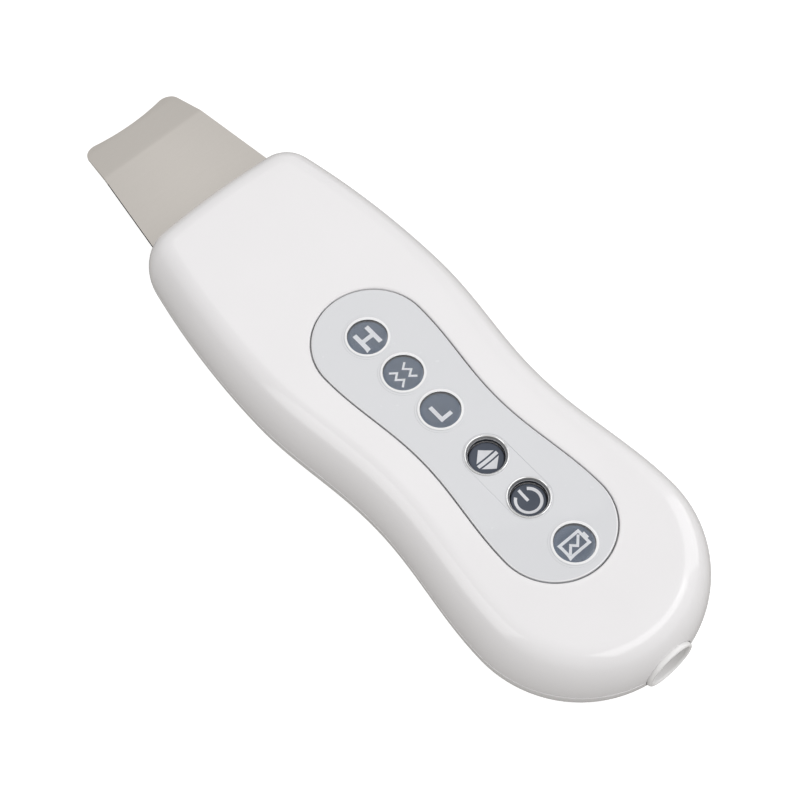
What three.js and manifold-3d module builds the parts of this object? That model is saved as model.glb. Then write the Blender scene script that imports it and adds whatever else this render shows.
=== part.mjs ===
// Ultrasonic skin scrubber: a slim two-shell handpiece with a bent steel spatula at the front,
// a clear peanut-shaped control panel on top and a charging socket at the rear.
// Millimetres, +Z up. Inside the handpiece group, z = 0 is the parting plane of the two shells
// and y = 0 is the waist; +Y points to the blade.
import * as THREE from "three";
import { ParametricGeometry } from "three/addons/geometries/ParametricGeometry.js";
import { mergeVertices } from "three/addons/utils/BufferGeometryUtils.js";
import Module from "manifold-3d";

const wasm = await Module();
wasm.setup();

// ---- driving dimensions: housing ----
const LOBE_RADIUS = 25.7; // rear end radius, and half width at both lobes
const LOBE_Y = 33.8; // lobes lie this far each side of the waist
const WAIST_HALF = 22.7;
const FRONT_Y = 79.5; // front end of the housing
const SIDE_ARC_RADIUS = 192; // flank in front of the front lobe
const FRONT_ARC_RADIUS = 171; // gently bowed front end
const CORNER_RADIUS = 8.5;
const TOP_Z = 11.4; // flat top, flush with the panel
const BOTTOM_Z = -8.3; // flat underside
const TOP_ROUND = 6.7; // how far the rounded edge reaches in, above and below
const BOTTOM_ROUND = 6.2;
const TOP_POWER = 2.1; // superellipse powers of the rounded edges
const BOTTOM_POWER = 2.25;
const FRONT_SAG = 0.6; // the top falls this much towards each end
const REAR_SAG = 0.5;
const WALL = 2;
const PARTING_GAP = 0.2;
const FIT = 0.3; // clearance between neighbouring pieces
const TOUCH = 0.02; // gap between pieces that bear on each other

// ---- driving dimensions: control panel ----
const PANEL_LOBE = 12.25;
const PANEL_LOBE_Y = 26.4;
const PANEL_WAIST = 10;
const PANEL_THICK = 1;
const SEAT_TOP = 9.9;
const SEAT_BOTTOM = 8.3;
const SEAT_RIM = 2.2; // the panel seat reaches this far past the panel
const WINDOW_RADIUS = 4;
const DOME_RADIUS = 4.9;
const DOME_HEIGHT = 0.45;
const WINDOWS = [["high", 27.9], ["pulse", 17], ["low", 5.9], ["battery", -32.2]];
const BUTTONS = [["mode", -7.5], ["power", -19.5]];
const BUTTON_RADIUS = 3.5;
const BUTTON_HOLE = 3.8;
const BEZEL_HALF = 4.6;
const BEZEL_FIT = 0.15;
const RIM_HEIGHT = 0.3;
const BUTTON_TOP = 10.1;
const BUTTON_FLANGE = 0.9; // how far the flange under the panel stands out
const BUTTON_DISH = 0.45;

// ---- driving dimensions: electronics ----
const BOARD = { half: 14, rear: -41, front: 36, bottom: 3.4, top: 4.6 };
const SWITCH = { half: 3, height: 2, plungerRadius: 1.1, boreRadius: 1.4 };
const LED = { halfX: 1.4, halfY: 1.75, height: 0.9 };
const BATTERY = { half: 15, rear: -40, front: 8, bottom: -5.6, top: -0.4 };
const BOARD_SCREWS = [["front", 10.5, 32], ["rear", -10.5, -36]];

// ---- driving dimensions: blade and transducer ----
const BLADE_BOTTOM = 0.8;
const BLADE_THICK = 1;
const BLADE_HALF = 16; // half width at BLADE_REF_Y
const BLADE_REF_Y = 80.8;
const BLADE_TAPER = 0.135; // half width lost per millimetre forward
const TANG = { half: 13, rear: 60, shoulder: 73 };
const BEND_Y = 100.2;
const BEND_ANGLE = THREE.MathUtils.degToRad(15);
const TIP_LENGTH = 10.3;
const TIP_CORNER = 2.9;
const TIP_HOLLOW = 1; // depth of the hollow front edge
const TIP_THICK = 0.4;
const TIP_Y = BEND_Y + TIP_LENGTH * Math.cos(BEND_ANGLE);
const AXIS_Z = 1; // axis of the transducer stack
const STACK = { radius: 6.5, ring: 2.3, tab: 0.3, massRear: 39.5 };
const HORN = { half: 13, rear: 55.4, front: 70, bottom: -5, rise: 7 };
const CLAMP = { half: 12, rear: 60.5, front: 69, thick: 2 };
const BLADE_SCREWS = [["left", -7], ["right", 7]];
const BLADE_SCREW_Y = 65;

// ---- driving dimensions: charging socket and fasteners ----
const COLLAR = { radius: 5.68, bore: 4.7, face: -59.6, inner: -53.6, floor: 0.8 };
const JACK = { half: 4.4, rear: -53.4, front: -43.4, bore: 3.1, depth: 8, pin: 0.65 };
const BOSS_RADIUS = 3.1;
const SCREW = { head: 2.2, shank: 1, hole: 1.3, seat: -5.2, headTop: 1.4, tip: 4.6 };
const CASE_SCREWS = [
  ["rear_left", -19, -33], ["rear_right", 19, -33],
  ["front_left", -18.5, 44], ["front_right", 18.5, 44],
];

// ---- materials ----
const finish = (color, roughness, metalness = 0, extra = {}) =>
  new THREE.MeshStandardMaterial({ color, roughness, metalness, ...extra });
const shellWhite = finish(0xefeeec, 0.22);
const collarWhite = finish(0xf1f1f0, 0.25);
const clearLens = finish(0xdadde0, 0.08, 0, { transparent: true, opacity: 0.55 });
const adhesiveWhite = finish(0xe2e4e6, 0.8);
const smokeSlate = finish(0x707885, 0.25);
const buttonSlate = finish(0x4a505c, 0.4);
const steel = finish(0xcbc6be, 0.3, 0.9);
const screwSteel = finish(0xb4b4b0, 0.35, 1);
const aluminium = finish(0xb9bcbf, 0.4, 0.9);
const brass = finish(0xc6a25a, 0.35, 1);
const ceramic = finish(0xb9b3a2, 0.7);
const silicone = finish(0xe6e5e2, 0.75);
const blackPlastic = finish(0x1c1d1f, 0.45);
const boardGreen = finish(0x1f5a3a, 0.5);
const foilSilver = finish(0xb7bcc4, 0.35, 0.6);
const ledWhite = finish(0xf3efd8, 0.4);
const ferrite = finish(0x3a3634, 0.8);
const copperRed = finish(0xa5552c, 0.45, 0.7);
const foamGrey = finish(0x6d6f72, 0.95);
const leadRed = finish(0xb3261e, 0.5);
const leadBlack = finish(0x222222, 0.5);

// ---- basic solids ----
function solid(geometry) {
  geometry.deleteAttribute("normal");
  geometry.deleteAttribute("uv");
  const merged = mergeVertices(geometry, 1e-4);
  return new wasm.Manifold(new wasm.Mesh({
    numProp: 3,
    vertProperties: merged.attributes.position.array,
    triVerts: new Uint32Array(merged.index.array),
  }));
}

const block = (x0, x1, y0, y1, z0, z1) => solid(
  new THREE.BoxGeometry(x1 - x0, y1 - y0, z1 - z0)
    .translate((x0 + x1) / 2, (y0 + y1) / 2, (z0 + z1) / 2));

const rod = (radius, x, y, z0, z1, sides = 16) => solid(
  new THREE.CylinderGeometry(radius, radius, z1 - z0, sides)
    .rotateX(Math.PI / 2).translate(x, y, (z0 + z1) / 2));

const rodAlongY = (radius, y0, y1, x, z, sides = 24) => solid(
  new THREE.CylinderGeometry(radius, radius, y1 - y0, sides).translate(x, (y0 + y1) / 2, z));

const prism = (shape, z0, z1, curveSegments = 12) => solid(
  new THREE.ExtrudeGeometry(shape, { depth: z1 - z0, bevelEnabled: false, curveSegments })
    .translate(0, 0, z0));

// A closed profile of [radius, height] points turned about Z.
const turned = (points, x, y, sides = 24) => solid(
  new THREE.LatheGeometry(points.map(([r, z]) => new THREE.Vector2(r, z)), sides)
    .rotateX(Math.PI / 2).translate(x, y, 0));

const joined = (...solids) => solids.reduce((sum, next) => sum.add(next));
const without = (base, ...cuts) => cuts.reduce((rest, cut) => rest.subtract(cut), base);

const handpiece = new THREE.Group();

function piece(name, made, material) {
  const mesh = made.getMesh();
  const geometry = new THREE.BufferGeometry();
  geometry.setAttribute("position", new THREE.BufferAttribute(mesh.vertProperties, 3));
  geometry.setIndex(new THREE.BufferAttribute(mesh.triVerts, 1));
  geometry.computeVertexNormals();
  const part = new THREE.Mesh(geometry, material);
  part.name = name;
  handpiece.add(part);
}

// ---- outlines: half curves from the rear end up the right side to the front end ----
class FlankCurve extends THREE.Curve {
  constructor(waist, lobe, lobeY) {
    super();
    Object.assign(this, { waist, lobe, lobeY });
  }
  getPoint(t, target = new THREE.Vector2()) {
    const y = this.lobeY * (2 * t - 1);
    const swell = Math.cos((Math.PI * y) / this.lobeY);
    return target.set((this.lobe + this.waist - (this.lobe - this.waist) * swell) / 2, y);
  }
}

const arc = (x, y, radius, from, to) => new THREE.EllipseCurve(x, y, radius, radius, from, to);

// Stations all round a symmetric outline, anticlockwise from its rear end. Each entry of half is
// a curve of the right-hand side and the number of equal steps that it is cut into.
function outlineStations(half) {
  const right = half.flatMap(([curve, steps], k) => {
    const count = k === half.length - 1 ? steps + 1 : steps;
    return Array.from({ length: count }, (_, i) => ({
      at: curve.getPoint(i / steps), along: curve.getTangent(i / steps),
    }));
  });
  for (const end of [right[0], right.at(-1)]) {
    end.at.x = 0;
    end.along.set(Math.sign(end.along.x), 0);
  }
  const left = right.slice(1, -1).reverse().map(({ at, along }) => ({
    at: new THREE.Vector2(-at.x, at.y), along: new THREE.Vector2(along.x, -along.y),
  }));
  return [...right, ...left];
}

const insetPoint = ({ at, along }, inset) =>
  new THREE.Vector2(at.x - along.y * inset, at.y + along.x * inset);

const outlineShape = (stations, inset) =>
  new THREE.Shape(stations.map((station) => insetPoint(station, inset)));

function housingOutline() {
  const side = { x: LOBE_RADIUS - SIDE_ARC_RADIUS, y: LOBE_Y };
  const front = { x: 0, y: FRONT_Y - FRONT_ARC_RADIUS };
  // The corner arc touches both big arcs from inside, so its centre is where two circles cross.
  const a = SIDE_ARC_RADIUS - CORNER_RADIUS;
  const b = FRONT_ARC_RADIUS - CORNER_RADIUS;
  const apart = Math.hypot(front.x - side.x, front.y - side.y);
  const along = (a * a - b * b + apart * apart) / (2 * apart);
  const off = Math.sqrt(a * a - along * along);
  const ex = (front.x - side.x) / apart;
  const ey = (front.y - side.y) / apart;
  const corner = { x: side.x + along * ex - off * ey, y: side.y + along * ey + off * ex };
  const sideEnd = Math.atan2(corner.y - side.y, corner.x - side.x);
  const frontStart = Math.atan2(corner.y - front.y, corner.x - front.x);
  return outlineStations([
    [arc(0, -LOBE_Y, LOBE_RADIUS, -Math.PI / 2, 0), 8],
    [new FlankCurve(WAIST_HALF, LOBE_RADIUS, LOBE_Y), 8],
    [arc(side.x, side.y, SIDE_ARC_RADIUS, 0, sideEnd), 4],
    [arc(corner.x, corner.y, CORNER_RADIUS, sideEnd, frontStart), 5],
    [arc(front.x, front.y, FRONT_ARC_RADIUS, frontStart, Math.PI / 2), 2],
  ]);
}

const housing = housingOutline();
const panel = outlineStations([
  [arc(0, -PANEL_LOBE_Y, PANEL_LOBE, -Math.PI / 2, 0), 8],
  [new FlankCurve(PANEL_WAIST, PANEL_LOBE, PANEL_LOBE_Y), 8],
  [arc(0, PANEL_LOBE_Y, PANEL_LOBE, 0, Math.PI / 2), 8],
]);

// ---- the rounded housing body, shrunk by wall on every side ----
const topSag = (y) => y > PANEL_LOBE_Y
  ? FRONT_SAG * ((y - PANEL_LOBE_Y) / (FRONT_Y - PANEL_LOBE_Y)) ** 2
  : y < -LOBE_Y ? REAR_SAG * ((y + LOBE_Y) / LOBE_RADIUS) ** 2 : 0;

function housingBody(wall, edgeRings) {
  const rings = 2 * edgeRings + 2; // spine, bottom edge up to top edge, spine
  const surface = (u, v, target) => {
    const ring = Math.round(v * rings);
    const angle = Math.PI / 2 * ((THREE.MathUtils.clamp(ring, 1, rings - 1) - 1) / edgeRings - 1);
    const upper = angle >= 0;
    const power = 2 / (upper ? TOP_POWER : BOTTOM_POWER);
    const reach = (upper ? TOP_ROUND : BOTTOM_ROUND) - wall;
    const inset = wall + reach * (1 - Math.max(Math.cos(angle), 0) ** power);
    const station = housing[Math.round(u * housing.length) % housing.length];
    const point = insetPoint(station, inset);
    const height = upper ? TOP_Z - wall - topSag(point.y) : BOTTOM_Z + wall;
    const onSpine = ring === 0 || ring === rings;
    target.set(
      onSpine ? 0 : point.x,
      onSpine ? THREE.MathUtils.clamp(point.y, -LOBE_Y, FRONT_Y - 2 * TOP_ROUND) : point.y,
      height * Math.abs(Math.sin(angle)) ** power,
    );
  };
  return solid(new ParametricGeometry(surface, housing.length, rings));
}

const outerBody = housingBody(0, 4);
const cavity = housingBody(WALL, 2);
const BIG = 200; // reaches past the whole housing
const above = (z) => block(-BIG, BIG, -BIG, BIG, z, BIG);
const below = (z) => block(-BIG, BIG, -BIG, BIG, -BIG, z);

// ---- shells ----
const LIP = { outer: 1.2, rise: 1.4 };
const SEAL = { half: 17.2, rear: 75.8, front: 78.3, bottom: -0.6, top: 3.2 };
const CRADLES = [[44, 46], [60, 62]]; // ribs that carry the tail and the horn
const CRADLE_HALF = 16.5;
const CRADLE_TOP = 9.8;
const CRADLE_BOTTOM = -7;
const RIB_GAP = 0.6; // the ribs stop this far from the parting plane
const slotCut = block(
  -SEAL.half - FIT, SEAL.half + FIT, SEAL.rear - 1.8, FRONT_Y + 2.5,
  SEAL.bottom - FIT, SEAL.top + FIT);
const collarCut = rodAlongY(COLLAR.radius + 0.17, COLLAR.face - 2.4, COLLAR.inner + 3.6, 0, 0, 32);
const TAIL_BED = 1.4; // room for the dampers round the tail and the horn
const HORN_BED = 1.6;
const tailCut = rodAlongY(STACK.radius + TAIL_BED, 40, 50, 0, AXIS_Z);
const hornCut = block(
  -HORN.half - HORN_BED, HORN.half + HORN_BED, 55, 66, HORN.bottom - 1, HORN.rise + 1.4);
// Notches in the upper tail rib, through which the transducer leads pass.
const NOTCH = { x: 9, z: 6, half: 1.3 };
const leadNotches = [-NOTCH.x, NOTCH.x].map((x) =>
  block(x - NOTCH.half, x + NOTCH.half, 43, 47, NOTCH.z - NOTCH.half, NOTCH.z + NOTCH.half));
const cradleRibs = (z0, z1) => CRADLES.map(([y0, y1]) =>
  outerBody.intersect(block(-CRADLE_HALF, CRADLE_HALF, y0, y1, z0, z1)));

function upperShell() {
  const seat = prism(outlineShape(panel, -SEAT_RIM), SEAT_BOTTOM, SEAT_TOP);
  const bosses = CASE_SCREWS.map(([, x, y]) => rod(BOSS_RADIUS, x, y, 0.6, 8.8, 20));
  const posts = BOARD_SCREWS.map(([, x, y]) => rod(2.3, x, y, BOARD.top + 0.1, SEAT_BOTTOM + 0.4, 16));
  const body = joined(
    outerBody.subtract(cavity), seat, ...bosses, ...posts, ...cradleRibs(RIB_GAP, CRADLE_TOP),
  ).intersect(above(PARTING_GAP / 2));
  return without(
    body,
    prism(outlineShape(panel, -FIT), SEAT_TOP, TOP_Z + 1),
    prism(outlineShape(housing, LIP.outer - 0.2), -1, LIP.rise + 0.3)
      .subtract(prism(outlineShape(housing, WALL + 0.4), -2, 3)),
    ...WINDOWS.map(([, y]) => rod(WINDOW_RADIUS + FIT, 0, y, SEAT_BOTTOM - 1, SEAT_TOP + 1, 20)),
    ...BUTTONS.map(([, y]) => rod(BUTTON_HOLE, 0, y, SEAT_BOTTOM - 1, SEAT_TOP + 1, 24)),
    ...CASE_SCREWS.map(([, x, y]) => rod(SCREW.hole, x, y, -1, 6, 12)),
    ...BOARD_SCREWS.map(([, x, y]) => rod(1.1, x, y, 3, 7.6, 10)),
    ...leadNotches, slotCut, collarCut, tailCut, hornCut,
  );
}

function lowerShell() {
  const bosses = CASE_SCREWS.map(([, x, y]) => rod(BOSS_RADIUS, x, y, -7.2, -0.2, 20));
  const lip = prism(outlineShape(housing, LIP.outer), -1.5, LIP.rise)
    .subtract(prism(outlineShape(housing, WALL), -2, LIP.rise + 1));
  const batteryStops = [block(-9, 9, BATTERY.front + 0.6, BATTERY.front + 2, -7, -2)];
  const jackRest = block(-4, 4, -50, -46, -7, -JACK.half - 0.2);
  const body = joined(
    outerBody.subtract(cavity), ...bosses, jackRest, ...batteryStops,
    ...cradleRibs(CRADLE_BOTTOM, -RIB_GAP),
  ).intersect(below(-PARTING_GAP / 2));
  return without(
    joined(body, lip),
    ...CASE_SCREWS.flatMap(([, x, y]) => [
      rod(SCREW.hole, x, y, -9, 0.5, 12), rod(SCREW.head + FIT, x, y, -9, SCREW.seat, 24),
    ]),
    slotCut, collarCut, tailCut, hornCut,
  );
}

piece("upper_shell", upperShell(), shellWhite);
piece("lower_shell", lowerShell(), shellWhite);

// ---- control panel ----
// A stadium between the two button centres, grown by half its width.
function stadium(half) {
  const [, upperY] = BUTTONS[0];
  const [, lowerY] = BUTTONS[1];
  const shape = new THREE.Shape();
  shape.absarc(0, upperY, half, 0, Math.PI, false);
  shape.absarc(0, lowerY, half, Math.PI, 2 * Math.PI, false);
  return shape;
}

function domeCap(y) {
  const profile = [[0, PANEL_THICK / -2], [DOME_RADIUS, PANEL_THICK / -2], [DOME_RADIUS, 0]];
  for (const share of [0.9, 0.55]) {
    profile.push([DOME_RADIUS * share, DOME_HEIGHT * Math.sqrt(1 - share * share)]);
  }
  profile.push([0, DOME_HEIGHT]);
  return turned(profile.map(([r, z]) => [r, z + TOP_Z]), 0, y, 20);
}

const panelPlate = prism(outlineShape(panel, 0), TOP_Z - PANEL_THICK, TOP_Z);
piece("control_panel", without(
  joined(panelPlate, ...WINDOWS.map(([, y]) => domeCap(y))),
  prism(stadium(BEZEL_HALF + BEZEL_FIT), TOP_Z - 2, TOP_Z + 2),
), clearLens);

const ringAround = (y) => rod(BEZEL_HALF - 0.1, 0, y, TOP_Z - 0.5, TOP_Z + RIM_HEIGHT, 24);
piece("button_bezel", without(
  joined(
    prism(stadium(BEZEL_HALF), TOP_Z - PANEL_THICK, TOP_Z, 12),
    ...BUTTONS.map(([, y]) => ringAround(y)),
  ),
  ...BUTTONS.map(([, y]) => rod(BUTTON_HOLE, 0, y, 8, 13, 24)),
), clearLens);

piece("panel_adhesive", without(
  prism(outlineShape(panel, 0.3), SEAT_TOP + 0.05, TOP_Z - PANEL_THICK - 0.05),
  ...WINDOWS.map(([, y]) => rod(WINDOW_RADIUS + 0.2, 0, y, 8, 13, 20)),
  ...BUTTONS.map(([, y]) => rod(BUTTON_HOLE, 0, y, 8, 13, 24)),
), adhesiveWhite);

// Smoked discs behind the windows, each with a stem down to its LED.
const LED_TOP = BOARD.top + LED.height;
for (const [name, y] of WINDOWS) {
  const disc = rod(WINDOW_RADIUS, 0, y, SEAT_BOTTOM, TOP_Z - PANEL_THICK - 0.1, 20);
  const stem = rod(1.9, 0, y, LED_TOP + 0.2, SEAT_BOTTOM + 0.2, 12);
  piece(name + "_light_guide", joined(disc, stem), smokeSlate);
  const [x, halfY] = [LED.halfX, LED.halfY];
  piece(name + "_led", block(-x, x, y - halfY, y + halfY, BOARD.top, LED_TOP), ledWhite);
}

// Dished button caps that pass through the bezel and sit on the switch plungers.
const SWITCH_TOP = BOARD.top + SWITCH.height;
const PLUNGER_TOP = SWITCH_TOP + 0.7;
for (const [name, y] of BUTTONS) {
  const cap = turned([
    [0, PLUNGER_TOP + TOUCH], [BUTTON_RADIUS + BUTTON_FLANGE, PLUNGER_TOP + TOUCH],
    [BUTTON_RADIUS + BUTTON_FLANGE, SEAT_BOTTOM - FIT], [BUTTON_RADIUS, SEAT_BOTTOM - FIT],
    [BUTTON_RADIUS, BUTTON_TOP - 0.2], [BUTTON_RADIUS - 0.3, BUTTON_TOP],
    [BUTTON_RADIUS * 0.6, BUTTON_TOP - BUTTON_DISH * 0.7], [0, BUTTON_TOP - BUTTON_DISH],
  ], 0, y);
  piece(name + "_button", cap, buttonSlate);
  piece(name + "_plunger", rod(SWITCH.plungerRadius, 0, y, BOARD.top + 1, PLUNGER_TOP, 16), blackPlastic);
  const half = SWITCH.half;
  piece(name + "_switch", without(
    block(-half, half, y - half, y + half, BOARD.top, SWITCH_TOP),
    rod(SWITCH.boreRadius, 0, y, BOARD.top + 0.4, SWITCH_TOP + 1),
  ), screwSteel);
}

// ---- board and its components ----
piece("main_board", without(
  block(-BOARD.half, BOARD.half, BOARD.rear, BOARD.front, BOARD.bottom, BOARD.top),
  ...BOARD_SCREWS.map(([, x, y]) => rod(1.4, x, y, 0, 6, 16)),
), boardGreen);
for (const [name, x, y] of BOARD_SCREWS) {
  piece("board_screw_" + name, joined(
    rod(2, x, y, BOARD.bottom - 1.3, BOARD.bottom - TOUCH),
    rod(0.85, x, y, BOARD.bottom - 0.5, 7.2, 12),
  ), screwSteel);
}
const underBoard = BOARD.bottom - TOUCH;
piece("driver_transformer", joined(
  block(-12, -2, 14, 26, underBoard - 7, underBoard),
  block(-10.5, -3.5, 12.6, 27.4, underBoard - 5.4, underBoard - 1.6),
), ferrite);
piece("tuning_coil", turned([
  [0, underBoard - 5.5], [3.6, underBoard - 5.5], [3.6, underBoard - 4.7], [2.9, underBoard - 4.7],
  [2.9, underBoard - 0.8], [3.6, underBoard - 0.8], [3.6, underBoard], [0, underBoard],
], 7, 20, 20), copperRed);
piece("controller_chip", block(-3, 3, -16, -10, underBoard - 1.4, underBoard), blackPlastic);
piece("power_transistor", block(-11, -5, 29.5, 34.5, underBoard - 1.8, underBoard), blackPlastic);

// ---- battery ----
const BATTERY_EDGE = 2.2;
function pouch(inset, z0, z1) {
  const { half, rear, front } = BATTERY;
  const shape = new THREE.Shape();
  const r = BATTERY_EDGE - inset;
  const [x, y0, y1] = [half - BATTERY_EDGE, rear + BATTERY_EDGE, front - BATTERY_EDGE];
  shape.absarc(x, y0, r, -Math.PI / 2, 0, false);
  shape.absarc(x, y1, r, 0, Math.PI / 2, false);
  shape.absarc(-x, y1, r, Math.PI / 2, Math.PI, false);
  shape.absarc(-x, y0, r, Math.PI, Math.PI * 1.5, false);
  return prism(shape, z0, z1, 5);
}
piece("battery", pouch(0, BATTERY.bottom, BATTERY.top), foilSilver);
piece("battery_pad", pouch(1.5, BOTTOM_Z + WALL + 0.05, BATTERY.bottom - 0.05), foamGrey);

// ---- blade: a bent strip seen from the side, trimmed to its outline seen from above ----
function bladeSide() {
  const top = BLADE_BOTTOM + BLADE_THICK;
  const run = 1.1; // the bend is rounded over this length on each side of the crease
  const [c, s] = [Math.cos(BEND_ANGLE), Math.sin(BEND_ANGLE)];
  const reach = TIP_LENGTH + 1;
  const strip = new THREE.Shape();
  strip.moveTo(TANG.rear - 1, BLADE_BOTTOM);
  strip.lineTo(BEND_Y - run, BLADE_BOTTOM);
  strip.quadraticCurveTo(BEND_Y, BLADE_BOTTOM, BEND_Y + run * c, BLADE_BOTTOM - run * s);
  strip.lineTo(BEND_Y + reach * c - TIP_THICK * s, top - reach * s - TIP_THICK * c);
  strip.lineTo(BEND_Y + reach * c, top - reach * s);
  strip.lineTo(BEND_Y + run * c, top - run * s);
  strip.quadraticCurveTo(BEND_Y, top, BEND_Y - run, top);
  strip.lineTo(TANG.rear - 1, top);
  const wide = 2 * BLADE_HALF + 8;
  return solid(new THREE.ExtrudeGeometry(strip, { depth: wide, bevelEnabled: false, curveSegments: 6 })
    .rotateX(Math.PI / 2).rotateZ(Math.PI / 2).translate(-wide / 2, 0, 0));
}

function bladePlan() {
  const cy = TIP_Y - TIP_CORNER;
  const lean = Math.atan(BLADE_TAPER);
  const edge = (y) => BLADE_HALF - BLADE_TAPER * (y - BLADE_REF_Y);
  const cx = edge(cy) - TIP_CORNER / Math.cos(lean);
  // The hollow front arc touches both corner arcs from outside.
  const drop = TIP_CORNER - TIP_HOLLOW;
  const hollow = (cx * cx + drop * drop - TIP_CORNER ** 2) / (2 * (TIP_CORNER - drop));
  const centreY = TIP_Y - TIP_HOLLOW + hollow;
  const touch = Math.atan2(centreY - cy, -cx);
  const hollowFrom = Math.atan2(cy - centreY, cx);
  const hollowTo = Math.atan2(cy - centreY, -cx);
  const plan = new THREE.Shape();
  plan.moveTo(TANG.half, TANG.rear);
  plan.lineTo(TANG.half, TANG.shoulder - 3);
  plan.lineTo(edge(TANG.shoulder), TANG.shoulder);
  plan.absarc(cx, cy, TIP_CORNER, lean, touch, false);
  plan.absarc(0, centreY, hollow, hollowFrom, hollowTo, true);
  plan.absarc(-cx, cy, TIP_CORNER, Math.PI - touch, Math.PI - lean, false);
  plan.lineTo(-edge(TANG.shoulder), TANG.shoulder);
  plan.lineTo(-TANG.half, TANG.shoulder - 3);
  plan.lineTo(-TANG.half, TANG.rear);
  return plan;
}

const screwBores = BLADE_SCREWS.map(([, x]) => rod(1.8, x, BLADE_SCREW_Y, -4.4, 9, 16));
piece("blade", without(
  bladeSide().intersect(prism(bladePlan(), -10, 6, 10)), ...screwBores,
), steel);

// ---- transducer ----
const bladeTop = BLADE_BOTTOM + BLADE_THICK;
const hornBlock = joined(
  block(-HORN.half, HORN.half, TANG.rear - 0.4, HORN.front, HORN.bottom, BLADE_BOTTOM - 0.05),
  block(-HORN.half, HORN.half, HORN.rear, TANG.rear - FIT, HORN.bottom, HORN.rise),
);
const BOLT = { bore: 2.3, shank: 2, head: 3.6, headLength: 3 };
piece("horn", without(
  hornBlock, ...screwBores, rodAlongY(BOLT.bore, 54, 59, 0, AXIS_Z, 20),
), aluminium);
piece("blade_clamp", without(
  block(-CLAMP.half, CLAMP.half, CLAMP.rear, CLAMP.front, bladeTop + 0.05, bladeTop + CLAMP.thick),
  ...screwBores,
), aluminium);
for (const [side, x] of BLADE_SCREWS) {
  const seat = bladeTop + CLAMP.thick + TOUCH;
  piece("blade_screw_" + side, joined(
    rod(2.6, x, BLADE_SCREW_Y, seat, seat + 2),
    rod(1.5, x, BLADE_SCREW_Y, -4, seat + 0.5),
  ), screwSteel);
}
// From the horn backwards: tab, ceramic, tab, ceramic, back mass.
let stackY = HORN.rear - TOUCH;
function stackRing(name, thickness, material, tabHeight = 0) {
  const y0 = stackY - thickness;
  const ring = rodAlongY(STACK.radius, y0, stackY, 0, AXIS_Z);
  const lug = AXIS_Z + STACK.radius - 1;
  const made = tabHeight ? joined(ring, block(-1, 1, y0, stackY, lug, lug + tabHeight)) : ring;
  piece(name, without(made, rodAlongY(BOLT.bore, y0 - 1, stackY + 1, 0, AXIS_Z, 20)), material);
  stackY = y0 - TOUCH;
}
stackRing("electrode_front", STACK.tab, brass, 2);
stackRing("piezo_front", STACK.ring, ceramic);
stackRing("electrode_rear", STACK.tab, brass, 2);
stackRing("piezo_rear", STACK.ring, ceramic);
stackRing("back_mass", stackY - STACK.massRear, screwSteel);
piece("stack_bolt", joined(
  rodAlongY(BOLT.head, STACK.massRear - BOLT.headLength - TOUCH, STACK.massRear - TOUCH, 0, AXIS_Z, 6),
  rodAlongY(BOLT.shank, STACK.massRear - 1, 58.5, 0, AXIS_Z, 20),
), screwSteel);
piece("tail_damper", without(
  rodAlongY(STACK.radius + 1.1, 43.2, 46.8, 0, AXIS_Z), rodAlongY(STACK.radius + 0.2, 42, 48, 0, AXIS_Z),
), silicone);
const hornFrame = (grow, y0, y1) =>
  block(-HORN.half - grow, HORN.half + grow, y0, y1, HORN.bottom - grow, HORN.rise + grow);
piece("horn_damper", without(hornFrame(0.9, 56.5, 59.4), hornFrame(0.1, 56, 60)), silicone);
const bladeEdge = BLADE_HALF - BLADE_TAPER * (SEAL.rear - BLADE_REF_Y);
piece("blade_seal", without(
  block(-SEAL.half, SEAL.half, SEAL.rear, SEAL.front, SEAL.bottom, SEAL.top),
  block(-bladeEdge - 0.2, bladeEdge + 0.2, 70, 84, BLADE_BOTTOM - 0.15, bladeTop + 0.15),
), silicone);

// ---- charging socket ----
piece("socket_collar", without(
  turnedCollar(), rodAlongY(JACK.bore, COLLAR.inner - 2, COLLAR.inner + 1, 0, 0),
), collarWhite);

function turnedCollar() {
  const lip = 0.35;
  const floorY = COLLAR.inner - COLLAR.floor;
  const profile = [
    [0, COLLAR.inner], [COLLAR.radius, COLLAR.inner], [COLLAR.radius, COLLAR.face + lip],
    [COLLAR.radius - lip, COLLAR.face], [COLLAR.bore + lip / 2, COLLAR.face],
    [COLLAR.bore, COLLAR.face + lip], [COLLAR.bore, floorY], [0, floorY],
  ].map(([r, y]) => new THREE.Vector2(r, y));
  return solid(new THREE.LatheGeometry(profile.reverse(), 32));
}

piece("charging_jack", without(
  block(-JACK.half, JACK.half, JACK.rear, JACK.front, -JACK.half, JACK.half),
  rodAlongY(JACK.bore, JACK.rear - 1, JACK.rear + JACK.depth, 0, 0),
), blackPlastic);
piece("jack_pin", rodAlongY(JACK.pin, JACK.rear + 1, JACK.rear + JACK.depth - TOUCH, 0, 0, 12), brass);

// ---- case screws and the plugs that cover them ----
for (const [name, x, y] of CASE_SCREWS) {
  const seat = SCREW.seat - TOUCH;
  piece("case_screw_" + name, joined(
    rod(SCREW.head, x, y, seat - SCREW.headTop, seat),
    rod(SCREW.shank, x, y, seat - 0.5, SCREW.tip, 12),
  ), screwSteel);
  piece("screw_plug_" + name,
    rod(SCREW.head + 0.15, x, y, BOTTOM_Z + 0.1, seat - SCREW.headTop - 0.1, 24), silicone);
}

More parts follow.
